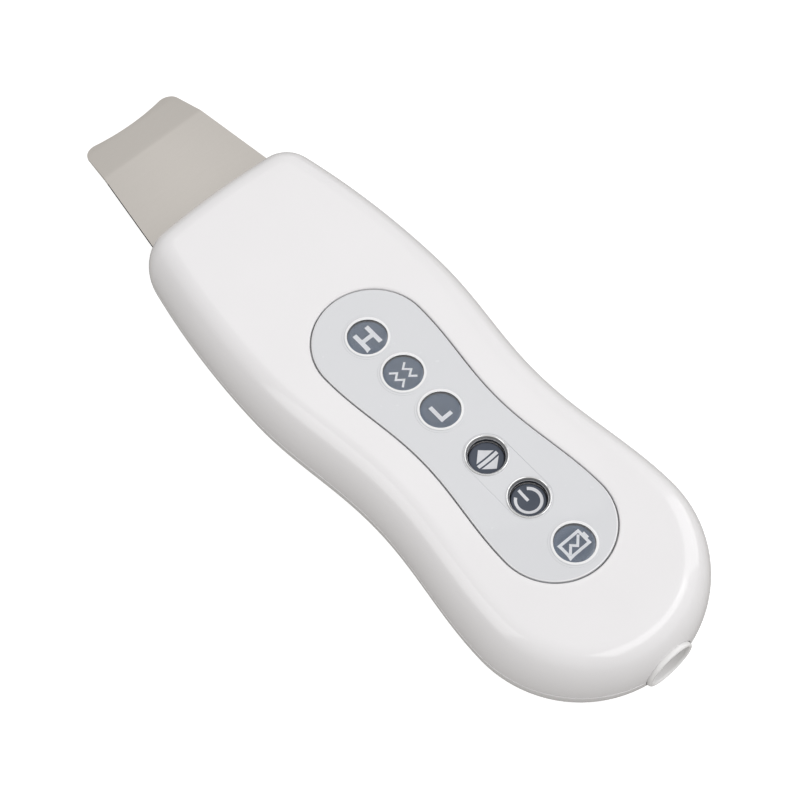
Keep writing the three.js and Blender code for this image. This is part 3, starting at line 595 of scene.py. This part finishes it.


# ---- window discs ----
# Smoked polycarbonate light guides: a slate disc behind each window, with a stem down to its LED.
# A near black ring is painted round the top of each disc as painted shade, and shows as a line.
GUIDE_TOP, GUIDE_BOTTOM, STEM_RADIUS, STEM_FOOT, STEM_EDGE = 10.3, 8.3, 1.9, 5.7, 0.15
DISC_EDGE, PAINTED_SHADE_FROM = 0.06, WINDOW_RADIUS - 0.24
slate = Paint("smoked_slate", {"Specular IOR Level": 0.25})
slate.vary(
    Base_Color=mottle(slate, (500, 3), (0.100, 0.135, 0.190), (0.125, 0.160, 0.220)),
    Roughness=0.32 + 0.12 * noise(slate, 900, 2),
    Normal=bump(slate, noise(slate, 1500, 2), 0.000004),
)
# A near black finish for the outer ring of each disc: a painted shade.
disc_rim_painted_shade = Paint("disc_rim_painted_shade", {"Coat Weight": 0.3})
disc_rim_painted_shade.vary(
    Base_Color=mottle(disc_rim_painted_shade, (800, 2), (0.035, 0.040, 0.052), (0.055, 0.062, 0.078)),
    Roughness=0.4 + 0.1 * noise(disc_rim_painted_shade, 900, 2),
)
for name, y in WINDOWS.items():
    guide = spun([
        (0, STEM_FOOT), (STEM_RADIUS - STEM_EDGE, STEM_FOOT), (STEM_RADIUS, STEM_FOOT + STEM_EDGE),
        (STEM_RADIUS, GUIDE_BOTTOM), (WINDOW_RADIUS, GUIDE_BOTTOM),
        (WINDOW_RADIUS, GUIDE_TOP - DISC_EDGE), (WINDOW_RADIUS - DISC_EDGE, GUIDE_TOP),
        (PAINTED_SHADE_FROM + 0.02, GUIDE_TOP), (0, GUIDE_TOP),
    ], 0, y, 96)
    for face in guide.faces:
        spot = face.calc_center_median()
        face.material_index = int(math.hypot(spot.x, spot.y - y) > PAINTED_SHADE_FROM)
    put(guide, name + "_window", [slate, disc_rim_painted_shade],
        replaces=[name + "_light_guide"])


# ---- button bezel ----
# A stadium-shaped plate in the middle of the panel, printed as the panel is. A bright raised rim
# with an inner slope darkened as painted shade stands round each finger hole, and the walls of
# the holes are painted near black as painted shade.
BEZEL_HALF, BEZEL_EDGE, RIM_LOW, RIM_SEAT, RIM_FOOT = 4.745, 0.08, 10.95, 4.15, 11.38
RIM_SHADE_TO, HOLE_TRIM = 4.05, 0.05
# The walls of the finger holes are painted near black: a painted shade down in the holes.
button_hole_painted_shade = Paint("button_hole_painted_shade", {"Coat Weight": 0.2})
button_hole_painted_shade.vary(
    Base_Color=mottle(button_hole_painted_shade, (700, 2), (0.022, 0.024, 0.032), (0.036, 0.040, 0.052)),
    Roughness=0.35 + 0.15 * noise(button_hole_painted_shade, 900, 2),
)
bezel = shaped(
    stadium(BEZEL_HALF, PANEL_BACK, TOP_Z, BEZEL_EDGE),
    cut=[rod(BUTTON_HOLE - HOLE_TRIM, 0, y, *LENS_CUT, 96) for y in BUTTONS.values()]
    + [rod(RIM_SEAT, 0, y, RIM_LOW, LENS_CUT[1], 96) for y in BUTTONS.values()],
)
for face in bezel.faces:
    spot = face.calc_center_median()
    inside = any(math.hypot(spot.x, spot.y - y) < BUTTON_HOLE + 0.01 for y in BUTTONS.values())
    face.material_index = int(inside and abs(face.normal.z) < WALL_LEAN)
put(bezel, "bezel_plate", [panel_grey, button_hole_painted_shade], replaces=["button_bezel"])
bright_rim = Paint("bright_rim", {"Metallic": 0.8, "Coat Weight": 0.5, "Coat Roughness": 0.03})
bright_rim.vary(
    Base_Color=mottle(bright_rim, (500, 2), (0.76, 0.765, 0.77), (0.82, 0.825, 0.83)),
    Roughness=0.06 + 0.05 * noise(bright_rim, 900, 2),
)
# The inner slope of each rim is a darker copy of the rim's finish: a painted shade.
rim_slope_painted_shade = Paint("rim_slope_painted_shade", {"Metallic": 0.5, "Coat Weight": 1.0, "Coat Roughness": 0.03})
rim_slope_painted_shade.vary(
    Base_Color=mottle(rim_slope_painted_shade, (500, 2), (0.22, 0.22, 0.22), (0.30, 0.30, 0.30)),
    Roughness=0.08 + 0.06 * noise(rim_slope_painted_shade, 900, 2),
)
rim_section = [
    (BUTTON_HOLE, RIM_LOW), (3.86, 11.15), (3.98, 11.42), (4.08, 11.57), (4.17, 11.66),
    (4.25, 11.69), (4.33, 11.66), (4.40, 11.56), (4.45, 11.46), (4.50, RIM_FOOT),
    (RIM_SEAT - 0.01, RIM_FOOT), (RIM_SEAT - 0.01, RIM_LOW), (BUTTON_HOLE, RIM_LOW),
]
for name, y in BUTTONS.items():
    rim_ring = spun(rim_section, 0, y, 128)
    for face in rim_ring.faces:
        spot = face.calc_center_median()
        face.material_index = int(math.hypot(spot.x, spot.y - y) < RIM_SHADE_TO)
    put(rim_ring, name + "_rim", [bright_rim, rim_slope_painted_shade])


# ---- buttons ----
# Two dished caps of dark slate ABS that slide in the bezel. A flange under the panel keeps each
# cap in, and a black plunger under it works the switch.
BUTTON_RADIUS, CAP_TOP, CAP_DISH = 3.5, 10.1, 0.45
CAP_FLANGE, CAP_FOOT, FLANGE_TOP, FLANGE_EDGE = 4.4, 7.32, 8.0, 0.1
DISH_RADIUS, DISH_STEPS = BUTTON_RADIUS - 0.3, 10


def dish_height(radius):
    return CAP_TOP - CAP_DISH * (1 - (radius / DISH_RADIUS) ** 2)


button_slate = Paint("button_slate", {"Specular IOR Level": 0.4})
button_slate.vary(
    Base_Color=mottle(button_slate, (500, 3), (0.056, 0.069, 0.096), (0.074, 0.087, 0.116)),
    Roughness=0.34 + 0.14 * noise(button_slate, 900, 3),
    Normal=bump(button_slate, noise(button_slate, 2600, 2), 0.000006),
)
dish_radii = [DISH_RADIUS * k / DISH_STEPS for k in range(DISH_STEPS, -1, -1)]
dish = [(radius, dish_height(radius)) for radius in dish_radii]
for name, y in BUTTONS.items():
    cap = spun([
        (0, CAP_FOOT), (CAP_FLANGE - FLANGE_EDGE, CAP_FOOT),
        (CAP_FLANGE, CAP_FOOT + FLANGE_EDGE), (CAP_FLANGE, FLANGE_TOP),
        (BUTTON_RADIUS, FLANGE_TOP), (BUTTON_RADIUS, CAP_TOP - 0.2),
        (BUTTON_RADIUS - 0.06, CAP_TOP - 0.05), (BUTTON_RADIUS - 0.18, CAP_TOP), *dish,
    ], 0, y, 96)
    put(cap, name + "_cap", [button_slate],
        body=name + "_key", replaces=[name + "_button"])


# ---- marks ----
# Light grey pad-printed marks: high and low level, the two-wave pulse mark and the battery on the
# window discs, and the up-and-down mark and the power mark in the dishes of the two caps.
MARK_THICK, MARK_LIFT, MARK_CELL, MARK_CELLS = 0.03, 0.004, 0.45, 6
POWER_RING, POWER_GAP, STROKE = 2.55, math.radians(35), 0.62


def ribbon(bm, points, width, closed=False):
    """A flat stroke of even width along a line of points, mitred at its corners."""
    line = [Vector(p) for p in points]
    count = len(line)
    pair = None
    for k in range(count + closed):
        here = line[k % count]
        before = (here - line[k - 1]) if closed or k > 0 else line[1] - here
        after = (line[(k + 1) % count] - here) if closed or k < count - 1 else here - line[k - 1]
        sides = [Vector((-step.y, step.x)).normalized() for step in (before, after)]
        mitre = sides[0] + sides[1]
        reach = mitre * (width / mitre.length_squared)
        corners = [(here + reach).to_3d(), (here - reach).to_3d()]
        if pair is None:
            pair = [bm.verts.new(c) for c in corners]
            edge = bm.edges.new(pair)
            continue
        grown = bmesh.ops.extrude_edge_only(bm, edges=[edge])["geom"]
        fresh = {v for v in grown if isinstance(v, bmesh.types.BMVert)}
        pair = [next(e.other_vert(v) for e in v.link_edges if e.other_vert(v) in fresh)
                for v in pair]
        for vert, corner in zip(pair, corners):
            vert.co = corner
        edge = bm.edges.get(pair)


def patch(bm, corners):
    bm.faces.new([bm.verts.new((x, y, 0)) for x, y in corners])


def high_mark(bm):
    for x in (-1.55, 1.55):
        patch(bm, [(x - 0.48, -2.25), (x + 0.48, -2.25), (x + 0.48, 2.25), (x - 0.48, 2.25)])
    patch(bm, [(-1.07, -0.45), (1.07, -0.45), (1.07, 0.45), (-1.07, 0.45)])


def pulse_mark(bm):
    ribbon(bm, [(-2.05, 2.0), (-0.8, 1.0), (-2.0, 0), (-0.7, -1.05), (-1.95, -2.05)], 0.45)
    ribbon(bm, [(1.95, 1.9), (0.7, 0.95), (1.9, -0.2), (0.65, -1.1), (1.85, -2.1)], 0.45)


def low_mark(bm):
    ribbon(bm, [(-1.0, 2.0), (-1.0, -1.55), (1.5, -1.55)], 0.85)


def battery_mark(bm):
    ribbon(bm, [(-2.4, -1.55), (2.4, -1.55), (2.4, 1.55), (-2.4, 1.55)], 0.6, closed=True)
    patch(bm, [(2.7, -0.7), (3.15, -0.7), (3.15, 0.7), (2.7, 0.7)])
    ribbon(bm, [(1.9, 1.0), (0.23, -0.63), (-0.71, 0.31), (-2.1, -1.1)], 0.55)


def mode_mark(bm):
    patch(bm, [(-2.25, 0.42), (2.25, 0.42), (0, 2.47)])
    patch(bm, [(-2.5, -0.70), (2.5, -0.70), (2.5, 0.05), (-2.5, 0.05)])
    patch(bm, [(-2.25, -1.05), (0, -2.95), (2.25, -1.05)])


def power_mark(bm):
    start, end = math.pi / 2 + POWER_GAP, math.pi * 2.5 - POWER_GAP
    angles = [start + (end - start) * k / 40 for k in range(41)]
    ribbon(bm, [(POWER_RING * math.cos(a), POWER_RING * math.sin(a)) for a in angles], STROKE)
    ribbon(bm, [(0, 0.1), (0, 2.85)], STROKE)


mark_grey = Paint("mark_print", {"Coat Weight": 0.4, "Coat Roughness": 0.1})
mark_grey.vary(
    Base_Color=mottle(mark_grey, (900, 3), (0.66, 0.67, 0.70), (0.76, 0.77, 0.80)),
    Roughness=0.35 + 0.15 * noise(mark_grey, 900, 2),
)
# The marks on the window discs carry a faint emission: a painted glow.
print_painted_glow = Paint("disc_print_painted_glow", {"Emission Color": (0.93, 0.95, 1, 1), "Emission Strength": 0.06})
print_painted_glow.vary(
    Base_Color=mottle(print_painted_glow, (900, 3), (0.80, 0.81, 0.84), (0.87, 0.88, 0.91)),
    Roughness=0.35 + 0.15 * noise(print_painted_glow, 900, 2),
)
MARKS = {"high": high_mark, "pulse": pulse_mark, "low": low_mark, "battery": battery_mark,
         "mode": mode_mark, "power": power_mark}
for name, draw in MARKS.items():
    pressed = name in BUTTONS
    mark = bmesh.new()
    draw(mark)
    bmesh.ops.remove_doubles(mark, verts=mark.verts, dist=1e-4)
    # A mark on a cap is cut into cells, so that it can follow the dish.
    for axis in (0, 1) if pressed else ():
        for k in range(-MARK_CELLS, MARK_CELLS + 1):
            at, normal = [0, 0, 0], [0, 0, 0]
            at[axis], normal[axis] = k * MARK_CELL + 0.011, 1
            bmesh.ops.bisect_plane(mark, geom=mark.verts[:] + mark.edges[:] + mark.faces[:],
                                   dist=SAME_POINT, plane_co=at, plane_no=normal)
    for face in mark.faces:
        if face.normal.z < 0:
            face.normal_flip()
    lifted = bmesh.ops.extrude_face_region(mark, geom=mark.faces[:])["geom"]
    raised = {v for v in lifted if isinstance(v, bmesh.types.BMVert)}
    bmesh.ops.recalc_face_normals(mark, faces=mark.faces)
    for vert in mark.verts:
        floor = (dish_height(vert.co.xy.length) if pressed else GUIDE_TOP) + MARK_LIFT
        vert.co.z = floor + (MARK_THICK if vert in raised else 0)
        vert.co.y += BUTTONS.get(name) or WINDOWS.get(name)
    bmesh.ops.recalc_face_normals(mark, faces=mark.faces)
    if pressed:
        put(mark, name + "_mark", [mark_grey], body=name + "_key")
    else:
        put(mark, name + "_mark", [print_painted_glow])


# ---- blade ----
# A spatula of 1 mm stainless sheet, bead-blasted to a satin finish, bent down 15 degrees near its
# tip and ground thin towards a hollow front edge. Its sides behind the bend are painted shade.
BLADE_LOW, BLADE_HIGH, TIP_THICK = 0.8, 1.8, 0.4
BLADE_HALF, BLADE_REF_Y, BLADE_TAPER = 16.0, 80.8, 0.135
BEND_Y, BEND, BEND_RUN, TIP_LENGTH = 100.2, math.radians(15), 0.5, 10.3
TIP_Y = BEND_Y + TIP_LENGTH * math.cos(BEND) - 0.002
TIP_CORNER, TIP_HOLLOW = 2.9, 1.0
TANG_HALF, TANG_REAR, SHOULDER, SIDE_SHADE_TO = 13.0, 60.0, 73.0, 98.6
BLADE_EDGE, BLADE_SCREW_X, BLADE_SCREW_Y, BLADE_SCREW_HOLE = 0.04, 7.0, 65.0, 1.8
BEND_CUTS, FLAT_CUTS = 10, (SHOULDER, 80.0, 88.0, 95.0, SIDE_SHADE_TO, 101.9, 104.5, 107.2)


def blade_half(y):
    return BLADE_HALF - BLADE_TAPER * (y - BLADE_REF_Y)


def blade_outline():
    """The right half of the blade from above, from the tang to the middle of the hollow edge."""
    corner_y = TIP_Y - TIP_CORNER
    lean = math.atan(BLADE_TAPER)
    corner_x = blade_half(corner_y) - TIP_CORNER / math.cos(lean)
    drop = TIP_CORNER - TIP_HOLLOW
    hollow = (corner_x ** 2 + drop ** 2 - TIP_CORNER ** 2) / (2 * (TIP_CORNER - drop))
    hollow_y = TIP_Y - TIP_HOLLOW + hollow
    touch = math.atan2(hollow_y - corner_y, -corner_x)
    front = math.atan2(corner_y - hollow_y, corner_x)
    points = [(TANG_HALF, TANG_REAR), (TANG_HALF, SHOULDER - 3), (blade_half(SHOULDER), SHOULDER)]
    points += [at[:] for at, out in arc(corner_x, corner_y, TIP_CORNER, lean, touch, 20)]
    points += [at[:] for at, out in arc(0, hollow_y, hollow, front, -math.pi / 2, 24)]
    return points + [(0, TIP_Y - TIP_HOLLOW)]


def bent(y, start, end_y, end_z):
    """The height of one face of the blade: level, round the bend, then straight to its end."""
    cos, sin = math.cos(BEND), math.sin(BEND)
    first, last = BEND_Y - BEND_RUN, BEND_Y + BEND_RUN * cos
    if y <= first:
        return start
    if y >= last:
        after = start - BEND_RUN * sin
        return after + (end_z - after) * (y - last) / (end_y - last)
    # The share of the way round a quadratic curve whose middle point is the crease.
    a, b, c = first - 2 * BEND_Y + last, 2 * (BEND_Y - first), first - y
    t = (-b + math.sqrt(b * b - 4 * a * c)) / (2 * a)
    return start - t * t * BEND_RUN * sin


reach = TIP_LENGTH + 1
far_y, far_z = BEND_Y + reach * math.cos(BEND), BLADE_HIGH - reach * math.sin(BEND)
thin_y, thin_z = far_y - TIP_THICK * math.sin(BEND), far_z - TIP_THICK * math.cos(BEND)
steel = Paint("satin_steel", {"Metallic": 0.85, "Specular IOR Level": 0.5})
grain = noise(steel, 240, 4, stretch=(1, 14, 1))
fine = noise(steel, 2600, 3)
steel.vary(
    Base_Color=between(steel, grain, (0.606, 0.577, 0.536), (0.628, 0.600, 0.561)),
    Roughness=0.42 + 0.12 * fine,
    Normal=bump(steel, fine, 0.000004),
)
# A near black finish for the blade's sides behind the bend: a painted shade.
blade_side_painted_shade = Paint("blade_side_shade_finish", {"Specular IOR Level": 0.1})
blade_side_painted_shade.vary(
    Base_Color=mottle(blade_side_painted_shade, (900, 3, (1, 1, 8)), (0.010, 0.009, 0.008), (0.024, 0.022, 0.021)),
    Roughness=0.6 + 0.2 * noise(blade_side_painted_shade, 1500, 2),
)
half_plan = blade_outline()
plan = half_plan + [(-x, y) for x, y in reversed(half_plan[:-1])]
blade = bmesh.new()
patch(blade, plan)
bend_length = BEND_RUN + BEND_RUN * math.cos(BEND)
bend_cuts = [BEND_Y - BEND_RUN + bend_length * k / BEND_CUTS for k in range(BEND_CUTS + 1)]
for y in (*bend_cuts, *FLAT_CUTS):
    bmesh.ops.bisect_plane(blade, geom=blade.verts[:] + blade.edges[:] + blade.faces[:], dist=1e-4,
                           plane_co=(0, y, 0), plane_no=(0, 1, 0))
lifted = bmesh.ops.extrude_face_region(blade, geom=blade.faces[:])["geom"]
upper_side = {v for v in lifted if isinstance(v, bmesh.types.BMVert)}
upper_face, lower_face = (BLADE_HIGH, far_y, far_z), (BLADE_LOW, thin_y, thin_z)
for vert in blade.verts:
    vert.co.z = bent(vert.co.y, *(upper_face if vert in upper_side else lower_face))
bmesh.ops.recalc_face_normals(blade, faces=blade.faces)
for face in blade.faces:
    face.material_index = int(abs(face.normal.z) < 0.5 and face.calc_center_median().y < SIDE_SHADE_TO)
rim = [e for e in blade.edges if len(e.link_faces) == 2 and e.calc_face_angle() > 1]
bmesh.ops.bevel(blade, geom=rim, offset=BLADE_EDGE, segments=2, profile=0.5, affect="EDGES",
                material=-1)
blade = shaped(blade, cut=[rod(BLADE_SCREW_HOLE, x, BLADE_SCREW_Y, -3, 6, 32)
                           for x in (-BLADE_SCREW_X, BLADE_SCREW_X)])
put(blade, "spatula", [steel, blade_side_painted_shade], replaces=["blade"])


# ---- blade seal ----
# A soft white silicone frame pressed into the slot round the blade, which keeps water out and
# lets the blade vibrate.
SEAL_HALF, SEAL_REAR, SEAL_FRONT, SEAL_LOW, SEAL_HIGH = 17.2, 75.8, 78.3, -0.6, 3.2
SEAL_EDGE, SEAL_LAP, SEAL_SIDE = 0.25, 0.15, 0.2
silicone = Paint("white_silicone", {"Specular IOR Level": 0.35})
silicone.vary(
    Base_Color=mottle(silicone, (260, 3), (0.70, 0.695, 0.68), (0.76, 0.755, 0.74)),
    Roughness=0.62 + 0.15 * noise(silicone, 900, 2),
    Normal=bump(silicone, noise(silicone, 1800, 2), 0.000006),
)
slit_half = blade_half(SEAL_REAR) + SEAL_SIDE
seal = shaped(
    block(-SEAL_HALF, SEAL_HALF, SEAL_REAR, SEAL_FRONT, SEAL_LOW, SEAL_HIGH, SEAL_EDGE),
    cut=[block(-slit_half, slit_half, 70, 84, BLADE_LOW - SEAL_LAP, BLADE_HIGH + SEAL_LAP)],
)
put(seal, "slot_seal", [silicone], replaces=["blade_seal"])


# ---- charging socket ----
# A separate white collar pressed into the rear end, with a rounded mouth. Behind its floor sits
# the black barrel jack with its brass centre pin.
COLLAR, BORE, FACE, INNER, FLOOR, FLOOR_EDGE = 5.68, 4.7, -59.598, -53.6, 0.8, 0.2
JACK_HALF, JACK_REAR, JACK_FRONT, JACK_EDGE = 4.4, -53.4, -43.4, 0.2
JACK_BORE, JACK_DEPTH, PIN = 3.1, 8.0, 0.65
collar_white = Paint("collar_white", {"Coat Weight": 0.3, "Coat Roughness": 0.08})
collar_white.vary(
    Base_Color=mottle(collar_white, (150, 3), (0.80, 0.795, 0.79), (0.84, 0.835, 0.83)),
    Roughness=0.2 + 0.1 * noise(collar_white, 500, 3),
    Normal=bump(collar_white, noise(collar_white, 600, 2), 0.000008),
)
mouth, middle = (COLLAR - BORE) / 2, (COLLAR + BORE) / 2
half_turn = [math.pi * k / 12 for k in range(13)]
round_mouth = [(middle + mouth * math.cos(a), FACE + mouth * (1 - math.sin(a))) for a in half_turn]
collar = spun([
    (JACK_BORE, INNER), (COLLAR, INNER), *round_mouth,
    (BORE, INNER - FLOOR - FLOOR_EDGE), (BORE - FLOOR_EDGE, INNER - FLOOR),
    (JACK_BORE, INNER - FLOOR), (JACK_BORE, INNER),
], 0, 0, 96, "Y")
put(collar, "socket_ring", [collar_white], replaces=["socket_collar"])
black = Paint("black_plastic", {"Specular IOR Level": 0.45})
black.vary(
    Base_Color=mottle(black, (400, 3), (0.012, 0.012, 0.014), (0.022, 0.022, 0.025)),
    Roughness=0.42 + 0.2 * noise(black, 900, 3),
    Normal=bump(black, noise(black, 2500, 2), 0.000006),
)
jack = shaped(
    block(-JACK_HALF, JACK_HALF, JACK_REAR, JACK_FRONT, -JACK_HALF, JACK_HALF, JACK_EDGE),
    cut=[rod(JACK_BORE, 0, 0, JACK_REAR - 1, JACK_REAR + JACK_DEPTH, 64, "Y")],
)
put(jack, "barrel_jack", [black], replaces=["charging_jack"])
brass = Paint("contact_brass", {"Metallic": 1.0})
brass.vary(
    Base_Color=mottle(brass, (500, 3), (0.56, 0.38, 0.12), (0.66, 0.47, 0.18)),
    Roughness=0.24 + 0.2 * noise(brass, 1200, 3),
    Normal=bump(brass, noise(brass, 3000, 2), 0.000003),
)
pin_tip, pin_foot = JACK_REAR + 1, JACK_REAR + JACK_DEPTH - 0.02
pin = spun([
    (0, pin_tip), (PIN * 0.55, pin_tip + 0.06), (PIN * 0.9, pin_tip + 0.28),
    (PIN, pin_tip + 0.6), (PIN, pin_foot), (0, pin_foot),
], 0, 0, 32, "Y")
put(pin, "centre_pin", [brass], replaces=["jack_pin"])


# ---- screw plugs ----
# Four soft white plugs pushed into the screw recesses of the underside. Each is a little domed
# and has a rounded edge.
PLUG_RADIUS, PLUG_LOW, PLUG_HIGH, PLUG_EDGE = 2.35, -8.2, -6.72, 0.15
for name, (x, y) in CASE_SCREWS.items():
    plug = spun([
        (0, PLUG_HIGH), (PLUG_RADIUS - PLUG_EDGE, PLUG_HIGH),
        (PLUG_RADIUS, PLUG_HIGH - PLUG_EDGE), (PLUG_RADIUS, PLUG_LOW + 0.4),
        (PLUG_RADIUS - 0.08, PLUG_LOW + 0.22), (PLUG_RADIUS - 0.26, PLUG_LOW + 0.1),
        (PLUG_RADIUS * 0.5, PLUG_LOW + 0.03), (0, PLUG_LOW),
    ], x, y, 48)
    put(plug, name + "_plug", [silicone], replaces=["screw_plug_" + name])


# ---- inside ----
# The board with its parts, the pouch cell, the transducer stack and the leads, which the closed
# case hides. They keep their own shapes and get the finish of their kind.
def plated(name, dark, light, rough, scale, metal=0.0, stretch=(1, 1, 1), depth=0.000004):
    made = Paint(name, {"Metallic": metal})
    pattern = noise(made, scale, 4, stretch)
    return made.vary(
        Base_Color=between(made, pattern, dark, light),
        Roughness=rough + 0.2 * noise(made, scale * 2.5, 2),
        Normal=bump(made, pattern, depth),
    )


# Each finish is its dark and light shade, roughness, grain, metal, stretch and depth of bump.
INSIDE = {
    "adhesive_sheet": ((0.014, 0.015, 0.018), (0.026, 0.028, 0.033), 0.6, 900),
    "screw_steel": ((0.42, 0.42, 0.41), (0.56, 0.56, 0.55), 0.25, 700, 1.0, (1, 1, 5)),
    "horn_aluminium": ((0.55, 0.56, 0.57), (0.66, 0.67, 0.68), 0.3, 500, 1.0, (1, 12, 1)),
    "piezo_ceramic": ((0.42, 0.38, 0.29), (0.54, 0.50, 0.40), 0.6, 1400),
    "board_green": ((0.010, 0.070, 0.030), (0.022, 0.115, 0.055), 0.3, 350, 0, (1, 1, 1), 1e-5),
    "cell_foil": ((0.42, 0.44, 0.47), (0.60, 0.62, 0.66), 0.25, 180, 0.8, (1, 1, 1), 3e-5),
    "led_white": ((0.78, 0.72, 0.50), (0.90, 0.86, 0.70), 0.3, 900),
    "ferrite_grey": ((0.030, 0.027, 0.025), (0.060, 0.056, 0.052), 0.65, 1200, 0, (1, 1, 1), 1e-5),
    "coil_copper": ((0.36, 0.12, 0.05), (0.56, 0.22, 0.10), 0.3, 500, 0.9, (1, 1, 14)),
    "foam_grey": ((0.10, 0.10, 0.105), (0.20, 0.20, 0.21), 0.8, 2600, 0, (1, 1, 1), 6e-5),
    "lead_red": ((0.30, 0.012, 0.010), (0.42, 0.022, 0.016), 0.35, 600),
    "lead_black": ((0.010, 0.010, 0.011), (0.020, 0.020, 0.022), 0.35, 600),
}
inner_finishes = {name: plated(name, *values) for name, values in INSIDE.items()}
inner_finishes |= {"black_plastic": black, "contact_brass": brass, "silicone_white": silicone}
FITTED = {
    "adhesive_sheet": ["panel_adhesive"],
    "screw_steel": [
        "mode_switch", "power_switch", "board_screw_front", "board_screw_rear",
        "blade_screw_left", "blade_screw_right", "back_mass", "stack_bolt",
        *("case_screw_" + name for name in CASE_SCREWS),
    ],
    "horn_aluminium": ["horn", "blade_clamp"],
    "piezo_ceramic": ["piezo_front", "piezo_rear"],
    "contact_brass": ["electrode_front", "electrode_rear"],
    "board_green": ["main_board"],
    "cell_foil": ["battery"],
    "led_white": [name + "_led" for name in WINDOWS],
    "ferrite_grey": ["driver_transformer"],
    "coil_copper": ["tuning_coil"],
    "foam_grey": ["battery_pad"],
    "black_plastic": ["controller_chip", "power_transistor", "mode_plunger", "power_plunger"],
    "silicone_white": ["tail_damper", "horn_damper"],
    "lead_red": ["battery_lead_positive", "jack_lead_positive", "transducer_lead_drive"],
    "lead_black": ["battery_lead_negative", "jack_lead_negative", "transducer_lead_return"],
}
for finish, names in FITTED.items():
    for name in names:
        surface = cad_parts[name].data.materials
        surface.clear()
        surface.append(inner_finishes[finish].owner)
